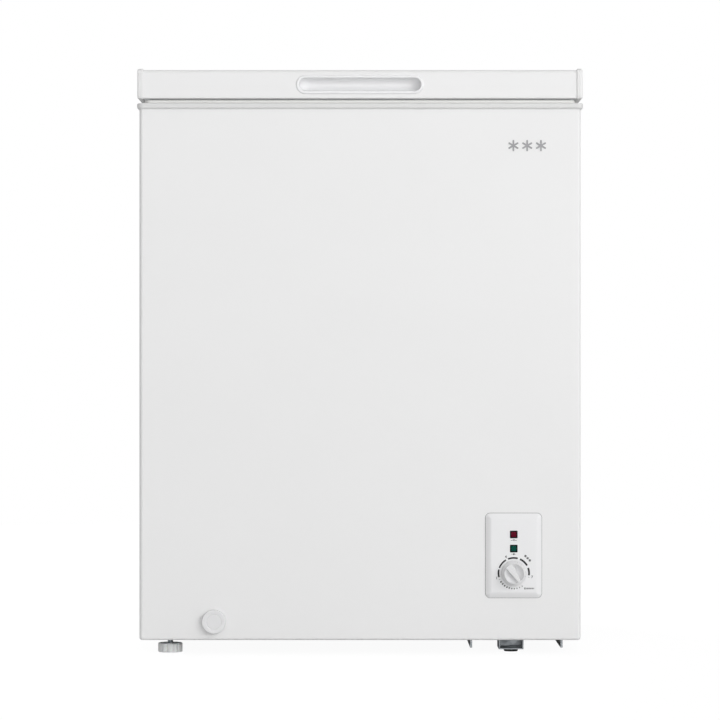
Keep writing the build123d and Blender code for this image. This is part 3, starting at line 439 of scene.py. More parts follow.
def ribbedSleeve():
    # corrugated sleeve over the leads: black, ribs every 2.5 mm; the colour follows the ribs, darker in the troughs
    # as painted shade and lighter on the crests
    mat, tree, bsdf, place = newMaterial("black ribbed sleeve", {"IOR": 1.5, "Roughness": 0.5})
    ribs = addNode(tree, "ShaderNodeTexWave", {"bands_direction": "Y"},
                   {"Vector": place, "Scale": 125.0, "Distortion": 0.2})
    # the rib colour tracks the bump height: painted shade in the troughs, painted highlight on the crests
    ramp = addNode(tree, "ShaderNodeValToRGB", None, {"Fac": ribs.outputs["Fac"]})
    ramp.color_ramp.elements[0].color, ramp.color_ramp.elements[1].color = linear("#0C0C0C"), linear("#1E1E1E")
    tree.links.new(ramp.outputs["Color"], bsdf.inputs["Base Color"])
    bump = addNode(tree, "ShaderNodeBump", None, {"Height": ribs.outputs["Fac"], "Distance": 0.0006, "Strength": 0.8})
    tree.links.new(bump.outputs["Normal"], bsdf.inputs["Normal"])
    return mat


zincSheet = galvanised()
redAcrylic = lensPlastic("red tinted acrylic", "red_lens", "#4A0518", "#7C0A2C")
greenAcrylic = lensPlastic("green tinted acrylic", "green_lens", "#04382F", "#0A6454")
sleeve = ribbedSleeve()

carried = {
    whiteSteel: ["outer_shell", "lid_panel"],
    backSteel: ["rear_panel", "rear_cover"],
    framePlastic: ["top_frame"],
    sparkPlastic: ["hinge_covers", "drain_tube", "left_end_cap", "right_end_cap", "side_vent"],
    glossStyrene: ["control_panel", "lid_handle"],
    tubStyrene: ["inner_liner", "lid_liner"],
    paleAbs: ["knob", "drain_cap"],
    paleNylon: ["front_foot", "rear_foot"],
    vinyl: ["lid_gasket"],
    rubber: ["foot_pads", "compressor_grommets", "drain_stopper", "cord_gland"],
    blackNylon: ["lamp_holders", "terminal_cover", "thermostat"],
    enamel: ["compressor_lower_shell", "compressor_upper_shell", "compressor_bracket"],
    castIron: ["compressor_motor"],
    copper: ["suction_tube", "discharge_tube", "filter_drier", "capillary_tube", "condenser_coil"],
    aluminium: ["evaporator_coil"],
    zinc: ["hinge_pins", "hinge_springs", "hinge_plungers", "cover_screws", "hinge_base_screws",
           "hinge_arm_screws", "compressor_bolts", "knob_shaft"],
    zincSheet: ["bottom_panel", "bay_wall", "base_plate", "foot_brackets", "hinge_bases", "hinge_arms",
                "foot_sockets"],
    foamMat: ["cabinet_foam", "lid_foam"],
    dippedWire: ["basket_rim", "basket_grids"],
    redAcrylic: ["red_lens"],
    greenAcrylic: ["green_lens"],
    greyFoil: ["front_badge"],
    sleeve: ["wiring_harness"],
}
for mat, names in carried.items():
    for name in names:
        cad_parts[name].data.materials.clear()
        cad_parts[name].data.materials.append(mat)
print("finishes ready")

panel = {
    "corner": 7.0 * mm,
    "seal": 0.4 * mm,          # dark ring that shows as a thin line round the plate; its dark colour is painted shade for the gap round the plate
    "edgeRise": 1.1 * mm,      # upright edge before the soft bevel starts
    "bevelIn": 8.2 * mm,
    "bevelRise": 3.85 * mm,
    "bevelParts": 14,
    "lamp": 10.7 * mm,
    "lampRim": 1.8 * mm,
    "lampRise": 0.6 * mm,
    "cells": 3,                # prism squares along a lamp's side
    "dialZ": 115.2 * mm,
    "ringIn": 20.3 * mm,       # printed ring round the knob
    "ringOut": 22.9 * mm,
    # from, to, how much thinner than the full ring
    "arcs": [(195, 166, 0.2), (160, 121, 0.35), (112, 75, 0.2), (66, 30, 0.0), (20, -8, 0.0)],
    "dotReach": 21.8 * mm,     # radius that the dots and end strokes stand on
    "dots": [(214, 1.7), (224, 1.7), (234, 1.6), (244, 1.5), (253, 1.4), (263, 1.3), (272, 1.2), (282, 1.1),
             (292, 1.0), (303, 0.9)],
    "digits": [("1", 196, 25.2), ("4", 116, 25.6), ("7", -12, 26.4)],
    "digitSize": 4.8 * mm,
    "ink": 0.15 * mm,
    "frostMarks": ((19.6, 21.2), 3.1, 3.6),  # middle mark from the dial's centre, spacing, size, in mm
    "thermometer": (22.4, -21.6),            # from the dial's centre, in mm
    "underRed": 8.0 * mm,      # marks below the middle of each lamp
    "underGreen": 7.9 * mm,
}

low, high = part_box("control_panel")
panelX, panelZ = (low.x + high.x) / 2, (low.z + high.z) / 2
panelFrontY = high.y - panel["edgeRise"] - panel["bevelRise"]
# dark rubber ring just wider than the plate: painted shade for the thin shadow line round it
bm = bmesh.new()
plate = blank(bm, high.x - low.x, high.z - low.z, panel["corner"], 10)
stepIn(bm, plate, [(0.0, 0.25 * mm), (0.1 * mm, 0.1 * mm)])
closeBack(bm)
bmesh.ops.translate(bm, verts=bm.verts, vec=(panelX, high.y, panelZ))
keep(bm, "panelShadeRing", rubber, "cabinet", ("control_panel",), smooth=50)
bm = bmesh.new()
plate = blank(bm, high.x - low.x - 2 * panel["seal"], high.z - low.z - 2 * panel["seal"],
              panel["corner"] - panel["seal"], 10)
stepIn(bm, plate, [(0.0, panel["edgeRise"] - 0.2 * mm), (0.06 * mm, 0.14 * mm), (0.2 * mm, 0.06 * mm)])
# the bevel keeps its slope most of the way and flattens late, so its inner edge shows
parts = panel["bevelParts"]
reach = [1 - (1 - i / parts) ** 1.5 for i in range(parts + 1)]
stepIn(bm, plate, [(panel["bevelIn"] / parts, panel["bevelRise"] * (b - a)) for a, b in zip(reach, reach[1:])])
stepIn(bm, plate, [(0.6 * mm, 0.0)])
closeBack(bm)
bmesh.ops.translate(bm, verts=bm.verts, vec=(panelX, high.y, panelZ))
keep(bm, "controlPlate", glossStyrene, "cabinet", ("control_panel",), smooth=50)


def lampWindow(name, node, mat):
    # nine raised prism squares in a black rim that rounds over into the plate
    low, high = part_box(node)
    centre = Vector(((low.x + high.x) / 2, panelFrontY, (low.z + high.z) / 2))
    inner = panel["lamp"] - 2 * panel["lampRim"]
    bm = bmesh.new()
    upright = Matrix.Rotation(math.pi / 2, 4, "X") @ Matrix.Diagonal((inner, inner, 1, 1))
    bmesh.ops.create_grid(bm, x_segments=panel["cells"], y_segments=panel["cells"], size=0.5, matrix=upright)
    bmesh.ops.recalc_face_normals(bm, faces=bm.faces)
    if bm.faces[:][0].normal.y > 0:
        bmesh.ops.reverse_faces(bm, faces=bm.faces)
    bmesh.ops.inset_individual(bm, faces=bm.faces[:], thickness=0.3 * mm, depth=0.18 * mm)
    bmesh.ops.translate(bm, verts=bm.verts, vec=centre - Vector((0, 0.3 * mm, 0)))
    keep(bm, name, mat, "cabinet", (node,), smooth=0)
    bm = bmesh.new()
    rim = blank(bm, panel["lamp"], panel["lamp"], 0.7 * mm, 4)
    stepIn(bm, rim, [(0.0, panel["lampRise"] - 0.25 * mm)])
    stepIn(bm, rim, arcSteps(0.25 * mm, 0.25 * mm, 3))
    stepIn(bm, rim, [(panel["lampRim"] - 0.6 * mm, 0.0), (0.3 * mm, -0.3 * mm), (0.05 * mm, -0.25 * mm)])
    bmesh.ops.delete(bm, geom=[rim["face"]], context="FACES_ONLY")
    bmesh.ops.translate(bm, verts=bm.verts, vec=centre)
    keep(bm, name + "Rim", blackNylon, "cabinet")


lampWindow("redLamp", "red_lens", redAcrylic)
lampWindow("greenLamp", "green_lens", greenAcrylic)


def polar(angle, reach):
    a = math.radians(angle)
    return Vector((math.cos(a), 0, math.sin(a))) * reach


def bar(bm, length, width, angle, centre):
    # flat printed bar, turned about the view axis
    made = bmesh.ops.create_cube(bm, size=1.0)["verts"]
    bmesh.ops.scale(bm, verts=made, vec=(length, panel["ink"], width))
    bmesh.ops.rotate(bm, verts=made, cent=(0, 0, 0), matrix=Matrix.Rotation(-math.radians(angle), 3, "Y"))
    bmesh.ops.translate(bm, verts=made, vec=centre)


def arc(bm, inner, outer, start, end, centre):
    # printed arc: a short edge swept round the view axis, then given the ink's thickness
    before = set(bm.faces)
    pair = [bm.verts.new(centre + polar(start, r) + Vector((0, panel["ink"] / 2, 0))) for r in (inner, outer)]
    edge = bm.edges.new(pair)
    bmesh.ops.spin(bm, geom=pair + [edge], cent=centre, axis=(0, -1, 0), angle=math.radians(end - start),
                   steps=max(4, int(abs(end - start) / 3)))
    swept = [f for f in bm.faces if f not in before]
    grown = bmesh.ops.extrude_face_region(bm, geom=swept)["geom"]
    bmesh.ops.translate(bm, verts=[g for g in grown if isinstance(g, bmesh.types.BMVert)], vec=(0, -panel["ink"], 0))


def frostMark(bm, centre, size, width):
    # six arms with a small chevron on each
    for angle in (30, 90, 150):
        bar(bm, size, width, angle, centre)
    for angle in range(30, 390, 60):
        for turn in (50, -50):
            joint = centre + polar(angle, size * 0.27)
            bar(bm, size * 0.2, width * 0.9, angle + turn, joint + polar(angle + turn, size * 0.1))


dialCentre = Vector((panelX, panelFrontY - 0.02 * mm, panel["dialZ"]))
bm = bmesh.new()
for start, end, thin in panel["arcs"]:
    arc(bm, panel["ringIn"] + thin * 0.6 * mm, panel["ringOut"] - thin * 0.6 * mm, start, end, dialCentre)
for angle, size in panel["dots"]:
    bar(bm, (size + 0.8) * mm, (size + 0.1) * mm, angle, dialCentre + polar(angle, panel["dotReach"]))
for angle in (204, -15):
    bar(bm, 2.2 * mm, 0.45 * mm, angle, dialCentre + polar(angle, panel["dotReach"]))
# three frost marks beside the coldest range
(markX, markZ), apart, markSize = panel["frostMarks"]
for step in (-1, 0, 1):
    place = dialCentre + Vector((markX + apart * step, 0, markZ - apart * step)) * mm
    frostMark(bm, place, markSize * mm, 0.5 * mm)
# lying thermometer at the warm end: bulb, stem and level lines
thermo = dialCentre + Vector((panel["thermometer"][0], 0, panel["thermometer"][1])) * mm
arc(bm, 0.6 * mm, 1.3 * mm, 30, 330, thermo - Vector((6.6 * mm, 0, 0)))
for side in (-0.6, 0.6):
    bar(bm, 11.4 * mm, 0.5 * mm, 0, thermo + Vector((0, 0, side)) * mm)
for level in (-3.2, -0.8, 1.6, 4.0):
    bar(bm, 1.1 * mm, 0.6 * mm, 90, thermo + Vector((level, 0, 0)) * mm)
arc(bm, 0.35 * mm, 0.85 * mm, -90, 90, thermo + Vector((5.6 * mm, 0, 0)))
# ring and stroke between dashes under the red lamp, frost mark between dots under the green one
redZ, greenZ = [sum(corner.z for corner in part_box(node)) / 2 for node in ("red_lens", "green_lens")]
power = Vector((panelX, dialCentre.y, redZ - panel["underRed"]))
arc(bm, 0.8 * mm, 1.35 * mm, 125, 415, power)
bar(bm, 1.4 * mm, 0.5 * mm, 90, power + Vector((0, 0, 0.9 * mm)))
frost = Vector((panelX, dialCentre.y, greenZ - panel["underGreen"]))
frostMark(bm, frost, 2.8 * mm, 0.45 * mm)
for side in (-1, 1):
    bar(bm, 2.2 * mm, 0.6 * mm, 0, power + Vector((3.0 * mm * side, 0, -0.4 * mm)))
    bar(bm, 0.9 * mm, 0.8 * mm, 0, frost + Vector((2.7 * mm * side, 0, 0)))
bmesh.ops.recalc_face_normals(bm, faces=bm.faces)
keep(bm, "dialPrint", inkPrint, "cabinet", smooth=0)


def printedDigits(name, items, size, mat, body):
    # text made a flat mesh first, then stood up, put in place and given the ink's thickness
    bm = bmesh.new()
    for word, place, angle in items:
        text = bpy.data.curves.new(name, "FONT")
        text.body, text.size, text.align_x, text.align_y, text.resolution_u = word, size, "CENTER", "CENTER", 3
        text.offset = size * 0.025    # a bold stroke
        helper = bpy.data.objects.new(name + "Text", text)
        scene.collection.objects.link(helper)
        bpy.context.view_layer.update()
        flat = bpy.data.meshes.new_from_object(helper.evaluated_get(bpy.context.evaluated_depsgraph_get()))
        bpy.data.objects.remove(helper)
        turn = Matrix.Rotation(-math.radians(angle), 4, "Y") @ Matrix.Rotation(math.pi / 2, 4, "X")
        flat.transform(Matrix.Translation(place) @ turn)
        bm.from_mesh(flat)
        bpy.data.meshes.remove(flat)
    grown = bmesh.ops.extrude_face_region(bm, geom=bm.faces[:])["geom"]
    bmesh.ops.translate(bm, verts=[g for g in grown if isinstance(g, bmesh.types.BMVert)], vec=(0, -panel["ink"], 0))
    bmesh.ops.recalc_face_normals(bm, faces=bm.faces)
    return keep(bm, name, mat, body, smooth=0)


baseOfInk = Vector((0, panel["ink"] / 2, 0))
places = [(word, dialCentre + baseOfInk + polar(angle, reach * mm), 0) for word, angle, reach in panel["digits"]]
printedDigits("dialDigits", places, panel["digitSize"], inkPrint, "cabinet")
print("control panel ready")

knobShape = {
    "rim": 14.3 * mm,
    "foot": 14.8 * mm,         # the cap flares a little down to the skirt
    "skirt": 16.95 * mm,       # then a fine groove and a low outer bezel
    "bezel": 18.0 * mm,
    "skirtRise": 7.6 * mm,
    "edge": 0.7 * mm,
    "pocket": 6.4 * mm,        # depth of the finger hollows beside the grip
    "wideEnd": 5.2 * mm,       # half widths of the grip at its two ends
    "slimEnd": 1.3 * mm,
    "flank": 1.2 * mm,         # how far the grip's sides lean
    "points": -57.0,           # where the slim end points, in degrees from the right
    "rings": 56,
    "turns": 176,
    "digits": [("1", 28), ("2", 50), ("3", 72), ("4", 8), ("5", -14)],
    "digitReach": 15.9 * mm,
    "digitSize": 1.9 * mm,
}


def ease(t):
    t = max(0.0, min(1.0, t))
    return t * t * (3 - 2 * t)


low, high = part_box("knob")
knobHigh = high.y - low.y
knobBase = Vector((panelX, high.y, panel["dialZ"]))
rim, skirt, rise, edge = [knobShape[key] for key in ("rim", "skirt", "skirtRise", "edge")]
rings, bezel = knobShape["rings"], knobShape["bezel"]
profile = [(max((rim - edge) * i / rings, 0.01 * mm), knobHigh) for i in range(rings + 1)]
for i in range(1, 6):
    a = math.pi / 2 * i / 5
    profile.append((rim - edge * (1 - math.sin(a)), knobHigh - edge * (1 - math.cos(a))))
# down the cap to the skirt, over its edge, through the groove, over the bezel, then the bore for the shaft
profile += [(knobShape["foot"], rise + 0.4 * mm), (knobShape["foot"] + 0.3 * mm, rise),
            (skirt - 0.4 * mm, rise - 0.1 * mm), (skirt - 0.1 * mm, rise - 0.3 * mm), (skirt, rise - 0.6 * mm),
            (skirt, 0.1 * mm), (skirt + 0.45 * mm, 0.1 * mm), (skirt + 0.5 * mm, 0.6 * mm),
            (bezel - 0.15 * mm, 0.6 * mm), (bezel, 0.4 * mm), (bezel, 0.0), (3.2 * mm, 0.0), (3.2 * mm, 3.0 * mm),
            (0.01 * mm, 3.0 * mm)]
bm = turned(profile, Vector((0, -1, 0)), knobBase, knobShape["turns"])
along = polar(knobShape["points"], 1)
across = polar(knobShape["points"] + 90, 1)
for v in bm.verts:
    # press the two hollows into the flat top
    arm = v.co - knobBase
    if -arm.y < knobHigh - 0.3 * mm:
        continue
    u, w = arm.dot(along), arm.dot(across)
    t = (u / rim + 1) / 2
    half = knobShape["wideEnd"] * (1 - t) + knobShape["slimEnd"] * t
    span = math.sqrt(max(0.0, (rim - 0.7 * mm) ** 2 - u * u)) - half
    beyond = abs(w) - half
    if beyond > 0 and span > 0:
        fall = ease(beyond / knobShape["flank"]) * (1 - min(1.0, beyond / span) ** 1.7)
        v.co.y += knobShape["pocket"] * min(1.0, span / (8.5 * mm)) * fall
keep(bm, "temperatureDial", paleAbs, "knob", ("knob",), smooth=70)
faceOfSkirt = Vector((panelX, high.y - rise + 0.1 * mm, panel["dialZ"]))
places = [(word, faceOfSkirt + polar(angle, knobShape["digitReach"]), angle - 90)
          for word, angle in knobShape["digits"]]
printedDigits("skirtDigits", places, knobShape["digitSize"], paleInk, "knob")
print("knob ready")

grip = {
    "edge": 1.8 * mm,          # outer roll of the flange
    "rise": 1.6 * mm,
    "land": 1.4 * mm,
    "lipIn": 1.1 * mm,         # lip that rolls into the hollow
    "lipFall": 1.3 * mm,
    "endSlope": 18.0 * mm,     # the hollow's ends slope, its top and bottom are steeper
    "sideSlope": 8.3 * mm,
    "deep": 14.5 * mm,
    "wall": 1.4 * mm,
    "rings": 18,
}

low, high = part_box("lid_handle")
gripZ, flangeY = (low.z + high.z) / 2, low.y + grip["rise"]
bm = bmesh.new()
plate = blank(bm, high.x - low.x, high.z - low.z, (high.z - low.z) / 2 - 0.05 * mm, 24)
stepIn(bm, plate, arcSteps(grip["edge"], grip["rise"], 6))
stepIn(bm, plate, [(grip["land"], 0.0)])
stepIn(bm, plate, arcSteps(grip["lipIn"], -grip["lipFall"], 5, hollow=True))
last = (0.0, 0.0, 0.0)
for i in range(1, grip["rings"] + 1):
    a = math.pi / 2 * i / grip["rings"]
    here = (grip["endSlope"] * (1 - math.cos(a)) ** 1.2, grip["sideSlope"] * (1 - math.cos(a)) ** 1.15,
            -grip["deep"] * math.sin(a) ** 0.9)
    stepIn(bm, plate, [[new - old for new, old in zip(here, last)]])
    last = here
stepIn(bm, plate, [(evenStep, 0.0)])
bmesh.ops.translate(bm, verts=bm.verts, vec=(0, flangeY, gripZ))
handle = keep(bm, "lidGrip", glossStyrene, "lid", ("lid_handle",), smooth=60)
wall = handle.modifiers.new("wall", "SOLIDIFY")
wall.thickness, wall.offset = grip["wall"], -1.0

caps = {
    "corner": 5.5 * mm,
    "joint": (0.9 * mm, 1.0 * mm),  # depth and width of the groove against the sheet
    "roll": 2.2 * mm,          # outer edge
    "groove": 0.35 * mm,       # parting line halfway along the edge
    "chamfer": 2.6 * mm,
    "lift": 1.0 * mm,          # lower edge clear of the tub frame
    "border": 5.0 * mm,        # flat border of the outer face, and how far its middle sinks
    "sink": 0.35 * mm,
}


def endCap(name, node, side):
    # rounded slab stepped outwards from the sheet, with a parting groove and a sloped underside
    low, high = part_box(node)
    low.z += caps["lift"]
    thick = high.x - low.x
    bm = bmesh.new()
    back, wide = caps["joint"]
    slab = blank(bm, high.y - low.y - 2 * back, high.z - low.z - 2 * back, caps["corner"] - back, 8)
    # groove against the sheet, inner part of the edge, parting groove, outer part of the edge
    stepIn(bm, slab, [(0.0, wide), (-back, 0.1 * mm), (0.0, thick * 0.42 - wide - 0.1 * mm),
                      (caps["groove"], 0.15 * mm), (0.0, 0.35 * mm), (-caps["groove"], 0.15 * mm),
                      (0.0, thick * 0.58 - caps["roll"] - 0.65 * mm)])
    stepIn(bm, slab, arcSteps(caps["roll"], caps["roll"], 6))
    stepIn(bm, slab, [(evenStep, 0.0), (caps["border"] - evenStep, 0.0), (0.6 * mm, -caps["sink"]), (evenStep, 0.0)])
    closeBack(bm)
    bmesh.ops.rotate(bm, verts=bm.verts, cent=(0, 0, 0), matrix=Matrix.Rotation(side * math.pi / 2, 3, "Z"))
    inner = low.x if side > 0 else high.x
    bmesh.ops.translate(bm, verts=bm.verts, vec=(inner, (low.y + high.y) / 2, (low.z + high.z) / 2))
    slope = Vector((-side * caps["chamfer"], 0, thick)).normalized()
    cut = bmesh.ops.bisect_plane(bm, geom=bm.verts[:] + bm.edges[:] + bm.faces[:], dist=0.001 * mm,
                                 plane_co=(inner, 0, low.z), plane_no=slope, clear_inner=True)
    bmesh.ops.holes_fill(bm, edges=[e for e in cut["geom_cut"] if isinstance(e, bmesh.types.BMEdge)], sides=0)
    bmesh.ops.recalc_face_normals(bm, faces=bm.faces)
    return keep(bm, name, sparkPlastic, "lid", (node,), smooth=40)


endCap("rightLidEnd", "right_end_cap", 1)
endCap("leftLidEnd", "left_end_cap", -1)
print("lid grip and ends ready")

seal = {
    # inset from the outline, width, height and softness of each layer, from the lid down
    "clip": [(6.0 * mm, 10.0 * mm, 0.5 * mm, 0.2 * mm), (8.0 * mm, 6.0 * mm, 0.5 * mm, 0.2 * mm)],
    "tube": [(0.0, 15.0 * mm, 3.9 * mm, 0.45 * mm)],
    "corner": 9.0 * mm,
}


def sealPart(name, layers, start, mat):
    # each layer is a frame: round over, run across, round down, then open in the middle
    low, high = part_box("lid_gasket")
    bm = bmesh.new()
    drop = start
    for trim, wide, tall, soft in layers:
        before = set(bm.verts)
        ring = blank(bm, high.x - low.x - 2 * trim, high.y - low.y - 2 * trim, seal["corner"] - trim, 8)
        stepIn(bm, ring, [(0.0, tall - soft)])
        stepIn(bm, ring, arcSteps(soft, soft, 4))
        stepIn(bm, ring, [(wide - 2 * soft, 0.0)])
        stepIn(bm, ring, arcSteps(soft, -soft, 4, hollow=True))
        stepIn(bm, ring, [(0.0, soft - tall)])
        bmesh.ops.delete(bm, geom=[ring["face"]], context="FACES_ONLY")
        made = [v for v in bm.verts if v not in before]
        bmesh.ops.translate(bm, verts=made, vec=(0, -drop, 0))
        backs = [e for e in bm.edges if e.is_boundary and e.verts[0] not in before]
        bmesh.ops.bridge_loops(bm, edges=backs)
        drop += tall
    bmesh.ops.rotate(bm, verts=bm.verts, cent=(0, 0, 0), matrix=Matrix.Rotation(math.pi / 2, 3, "X"))
    bmesh.ops.translate(bm, verts=bm.verts, vec=(0, (low.y + high.y) / 2, high.z))
    bmesh.ops.recalc_face_normals(bm, faces=bm.faces)
    keep(bm, name, mat, "lid", ("lid_gasket",), smooth=50)
    return drop


# the stiff clip in the lid's groove sits back, and its dark grey is painted shade, so the joint reads as a dark line
clipEnd = sealPart("sealClip", seal["clip"], 0.0, clipShadeVinyl)
sealPart("lidSeal", seal["tube"], clipEnd, vinyl)

underside = {
    "flange": 1.2 * mm,
    "wider": 1.6 * mm,         # than the CAD liner, so that it meets the lid's ends
    "shorter": 8.0 * mm,       # front to back, so that the joint stays in shade; steel covers the foam there
    "outerCorner": 4 * mm,
    "plugX": 472.0 * mm,       # raised plug that drops into the tub's mouth
    "plugY": 379.0 * mm,
    "corner": 16.0 * mm,
    "cove": 2.0 * mm,          # hollow at the plug's foot
    "draft": 0.3 * mm,         # lean of the plug's walls
    "roll": 3.6 * mm,
    "border": 26.0 * mm,
    "recess": 0.9 * mm,        # less than the 1.2 mm skin, so that the foam stays behind it
    "ribs": 3,
    "rib": 0.8 * mm,
    "ribWide": 3.0 * mm,
    "ribGap": 38.0 * mm,
}
low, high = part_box("lid_liner")
bm = bmesh.new()
wide, long = high.x - low.x + underside["wider"], high.y - low.y - underside["shorter"]
flange = blank(bm, wide, long, underside["outerCorner"], 5)
stepIn(bm, flange, [(0.0, underside["flange"] - 0.3 * mm)])
stepIn(bm, flange, arcSteps(0.3 * mm, 0.3 * mm, 2))
cove, draft = underside["cove"], underside["draft"]
around = (wide - underside["plugX"]) / 2 - cove - draft, (long - underside["plugY"]) / 2 - cove - draft
stepIn(bm, flange, [(*[side - evenStep for side in around], 0.0, underside["corner"] + cove + evenStep),
                    (evenStep, 0.0)])
deep = high.z - low.z - underside["flange"]
stepIn(bm, flange, arcSteps(cove, cove, 4, hollow=True))
stepIn(bm, flange, [(draft, deep - underside["roll"] - cove)])
stepIn(bm, flange, arcSteps(underside["roll"], underside["roll"], 7))
stepIn(bm, flange, [(evenStep, 0.0), (underside["border"], 0.0)])
stepIn(bm, flange, arcSteps(underside["recess"], -underside["recess"], 4))
for _ in range(underside["ribs"]):
    stepIn(bm, flange, [(underside["ribGap"], 0.0)])
    stepIn(bm, flange, arcSteps(underside["rib"], underside["rib"], 4, hollow=True))
    stepIn(bm, flange, [(underside["ribWide"], 0.0)])
    stepIn(bm, flange, arcSteps(underside["rib"], -underside["rib"], 4))
stepIn(bm, flange, [(evenStep, 0.0)])
closeBack(bm)
bmesh.ops.rotate(bm, verts=bm.verts, cent=(0, 0, 0), matrix=Matrix.Rotation(math.pi / 2, 3, "X"))
bmesh.ops.translate(bm, verts=bm.verts, vec=(0, (low.y + high.y) / 2, high.z))
keep(bm, "lidUnderside", tubStyrene, "lid", ("lid_liner",), smooth=50)
print("lid seal and underside ready")

drain = {
    "face": 16.9 * mm,
    "root": 17.1 * mm,
    "edge": 1.1 * mm,
    "ring": 10.3 * mm,         # moulded ring on the face
    "stem": 5.95 * mm,
    "stemLong": 16.4 * mm,
    "seals": 3,                # sealing rings along the stem
}
low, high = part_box("drain_cap")
capBase, capHigh = Vector(((low.x + high.x) / 2, high.y, (low.z + high.z) / 2)), high.y - low.y
stem, root, stemLong = drain["stem"], drain["root"], drain["stemLong"]
profile = [(0.01 * mm, 0.0), (4.0 * mm, 0.0), (5.2 * mm, 0.8 * mm), (stem, 2.2 * mm)]
for i in range(drain["seals"]):
    z = (4.0 + 3.2 * i) * mm
    profile += [(stem, z), (stem - 0.5 * mm, z + 0.4 * mm), (stem - 0.5 * mm, z + 1.2 * mm), (stem, z + 1.6 * mm)]
profile += [(stem, stemLong), (root - 0.4 * mm, stemLong), (root, stemLong + 0.4 * mm)]
for i in range(9):
    a = math.pi / 2 * i / 8
    profile.append((drain["face"] - drain["edge"] * (1 - math.cos(a)), capHigh - drain["edge"] * (1 - math.sin(a))))
ring = drain["ring"]
profile += [(ring + 1.4 * mm, capHigh), (ring + 0.7 * mm, capHigh - 0.15 * mm),
            (ring + 0.3 * mm, capHigh - 0.6 * mm), (ring - 0.3 * mm, capHigh - 0.6 * mm),
            (ring - 0.7 * mm, capHigh - 0.15 * mm), (ring - 2 * mm, capHigh - 0.1 * mm),
            (0.01 * mm, capHigh - 0.5 * mm)]
bm = turned(profile, Vector((0, -1, 0)), capBase, 96)
keep(bm, "drainPlug", paleAbs, "drain_cap", ("drain_cap",), smooth=35)

foot = {
    "lobes": 12,
    "dip": 0.085,              # how deep the hollows between lobes are, as part of the radius
    "high": 13.0 * mm,
    "start": 0.94,             # the lower face, as part of the full size
    # top of the disc: size, rise in mm
    "steps": [(0.985, 0.5), (0.955, 0.35), (0.86, 0.05), (0.84, -0.9), (0.42, 0.0), (0.4, 1.0)],
    "pitch": 1.25 * mm,
    "studOut": 4.0 * mm,
    "studRoot": 3.35 * mm,
}


def screwFoot(name, node):
    # scalloped nylon disc on a threaded stud
    low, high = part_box(node)
    centre = Vector(((low.x + high.x) / 2, (low.y + high.y) / 2, low.z))
    bm = bmesh.new()
    bmesh.ops.create_circle(bm, cap_ends=True, segments=144, radius=(high.x - low.x) / 2)
    for v in bm.verts:
        dip = 1 - abs(math.cos(math.atan2(v.co.y, v.co.x) * foot["lobes"] / 2)) ** 0.7
        v.co *= 1 - foot["dip"] * dip
    face = bm.faces[:][0]
    stack = [(0.965, 0.0), (1.0, 0.6), (1.0, foot["high"] / mm - 1.6)] + foot["steps"]
    bmesh.ops.scale(bm, verts=face.verts[:], vec=[foot["start"]] * 3)
    last = foot["start"]
    for size, up in stack:
        bmesh.ops.inset_region(bm, faces=[face], thickness=0, use_boundary=True)
        bmesh.ops.scale(bm, verts=face.verts[:], vec=(size / last, size / last, 1))
        bmesh.ops.translate(bm, verts=face.verts[:], vec=(0, 0, up * mm))
        last = size
    closeBack(bm)
    bmesh.ops.translate(bm, verts=bm.verts, vec=centre)
    keep(bm, name, paleNylon, node, (node,), smooth=35)
    studHigh = high.z - low.z
    root, out, pitch, z = foot["studRoot"], foot["studOut"], foot["pitch"], foot["high"]
    profile = [(0.01 * mm, z - 0.5 * mm), (root, z - 0.5 * mm)]
    while z < studHigh - 1.5 * mm:
        profile += [(root, z), (out, z + pitch * 0.45), (out, z + pitch * 0.55)]
        z += pitch
    profile += [(root - 0.3 * mm, studHigh), (0.01 * mm, studHigh)]
    bm = turned(profile, Vector((0, 0, 1)), centre, 40)
    keep(bm, name + "Stud", zinc, node, smooth=20)


screwFoot("frontScrewFoot", "front_foot")
screwFoot("rearScrewFoot", "rear_foot")
print("drain and feet ready")

vent = {
    "border": 9.0 * mm,
    "slats": 11,
    "slatHigh": 10.0 * mm,
    "slatThick": 1.3 * mm,
    "lean": 42,                # degrees
    "corner": 6.0 * mm,
    "stays": 2,
    "stay": (7.0 * mm, 2.2 * mm),   # depth and width
    "slatIn": 2.7 * mm,        # how far behind the wall their middles are
    "stayIn": 3.2 * mm,
    "well": 7.5 * mm,          # depth of the opening
}
low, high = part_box("side_vent")
wide, tall = high.y - low.y, high.z - low.z
bm = bmesh.new()
plate = blank(bm, wide, tall, vent["corner"], 6)
stepIn(bm, plate, [(0.0, 1.0 * mm)])
stepIn(bm, plate, arcSteps(1.2 * mm, 1.2 * mm, 5))
stepIn(bm, plate, [(vent["border"] - 2.0 * mm, 0.0)])
stepIn(bm, plate, arcSteps(0.6 * mm, -0.6 * mm, 3, hollow=True))
stepIn(bm, plate, [(0.2 * mm, -vent["well"])])
bmesh.ops.delete(bm, geom=[plate["face"]], context="FACES_ONLY")
bmesh.ops.rotate(bm, verts=bm.verts, cent=(0, 0, 0), matrix=Matrix.Rotation(math.pi / 2, 3, "Z"))
room = tall - 2 * vent["border"]
for i in range(vent["slats"]):
    before = set(bm.verts)
    made = bmesh.ops.create_cube(bm, size=1.0)["verts"]
    bmesh.ops.scale(bm, verts=made, vec=(vent["slatThick"], wide - 2 * vent["border"], vent["slatHigh"]))
    long = list({e for v in made for e in v.link_edges if abs((e.verts[0].co - e.verts[1].co).y) > 10 * mm})
    bmesh.ops.bevel(bm, geom=long, offset=0.45 * mm, segments=2, profile=0.5, affect="EDGES", material=-1)
    slat = [v for v in bm.verts if v not in before]
    bmesh.ops.rotate(bm, verts=slat, cent=(0, 0, 0), matrix=Matrix.Rotation(-math.radians(vent["lean"]), 3, "Y"))
    bmesh.ops.translate(bm, verts=slat, vec=(-vent["slatIn"], 0, room * ((i + 0.5) / vent["slats"] - 0.5)))
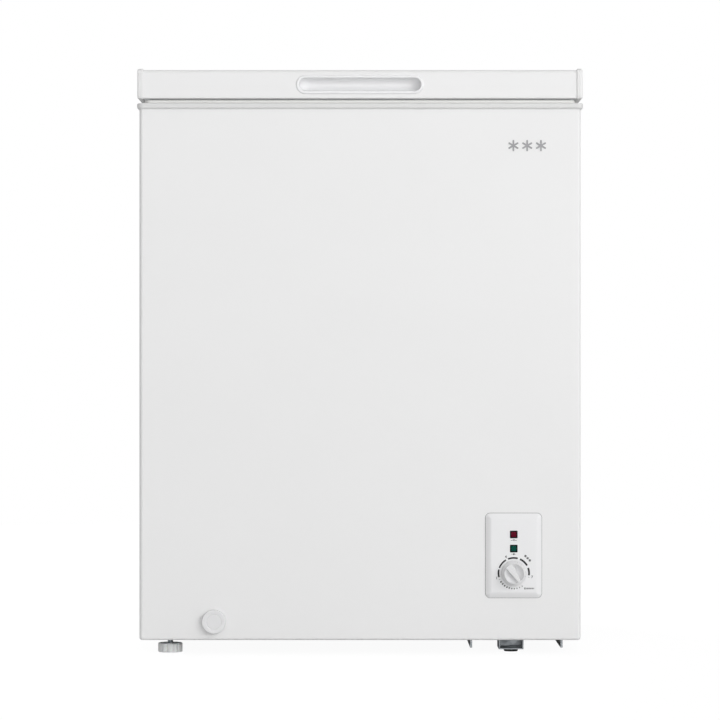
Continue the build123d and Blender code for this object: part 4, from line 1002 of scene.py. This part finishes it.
for i in range(vent["stays"]):
    made = bmesh.ops.create_cube(bm, size=1.0)["verts"]
    bmesh.ops.scale(bm, verts=made, vec=(*vent["stay"], room + 0.5 * mm))
    y = (wide - 2 * vent["border"]) * ((i + 1) / (vent["stays"] + 1) - 0.5)
    bmesh.ops.translate(bm, verts=made, vec=(-vent["stayIn"], y, 0))
bmesh.ops.translate(bm, verts=bm.verts, vec=(cabinetHigh.x, (low.y + high.y) / 2, (low.z + high.z) / 2))
keep(bm, "sideLouvre", sparkPlastic, "cabinet", ("side_vent",), smooth=35)

hood = {
    "half": 31.0 * mm,
    "high": 5.4 * mm,
    "proud": 4.6 * mm,
    "rows": 11,
    "firstZ": 72.0 * mm,       # height of the lowest row
    "below": 1.8 * mm,         # a hood hangs this far below its row
    "stepZ": 13.0 * mm,
    "columns": (177.0 * mm, 247.0 * mm),
    "sheet": 0.9 * mm,
}
low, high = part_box("rear_cover")
bm = bmesh.new()
# one pressed hood: the upper outer quarter of a long dome, then its copies
bmesh.ops.create_uvsphere(bm, u_segments=28, v_segments=14, radius=1.0)
bmesh.ops.rotate(bm, verts=bm.verts, cent=(0, 0, 0), matrix=Matrix.Rotation(math.pi / 2, 3, "Y"))
bmesh.ops.scale(bm, verts=bm.verts, vec=(hood["half"], hood["proud"], hood["high"]))
for way in ((0, 1, 0), (0, 0, 1)):
    bmesh.ops.bisect_plane(bm, geom=bm.verts[:] + bm.edges[:] + bm.faces[:], dist=0.001 * mm, plane_co=(0, 0, 0),
                           plane_no=way, clear_inner=True)
pattern = bm.verts[:] + bm.edges[:] + bm.faces[:]
for x in hood["columns"]:
    for row in range(hood["rows"]):
        copied = bmesh.ops.duplicate(bm, geom=pattern)["geom"]
        bmesh.ops.translate(bm, verts=[g for g in copied if isinstance(g, bmesh.types.BMVert)],
                            vec=(x, high.y, hood["firstZ"] + hood["stepZ"] * row - hood["below"]))
bmesh.ops.delete(bm, geom=[g for g in pattern if isinstance(g, bmesh.types.BMVert)], context="VERTS")
hoods = keep(bm, "coverHoods", backSteel, "cabinet", smooth=60)
wall = hoods.modifiers.new("sheet", "SOLIDIFY")
wall.thickness, wall.offset = hood["sheet"], -1.0
print("vents ready")
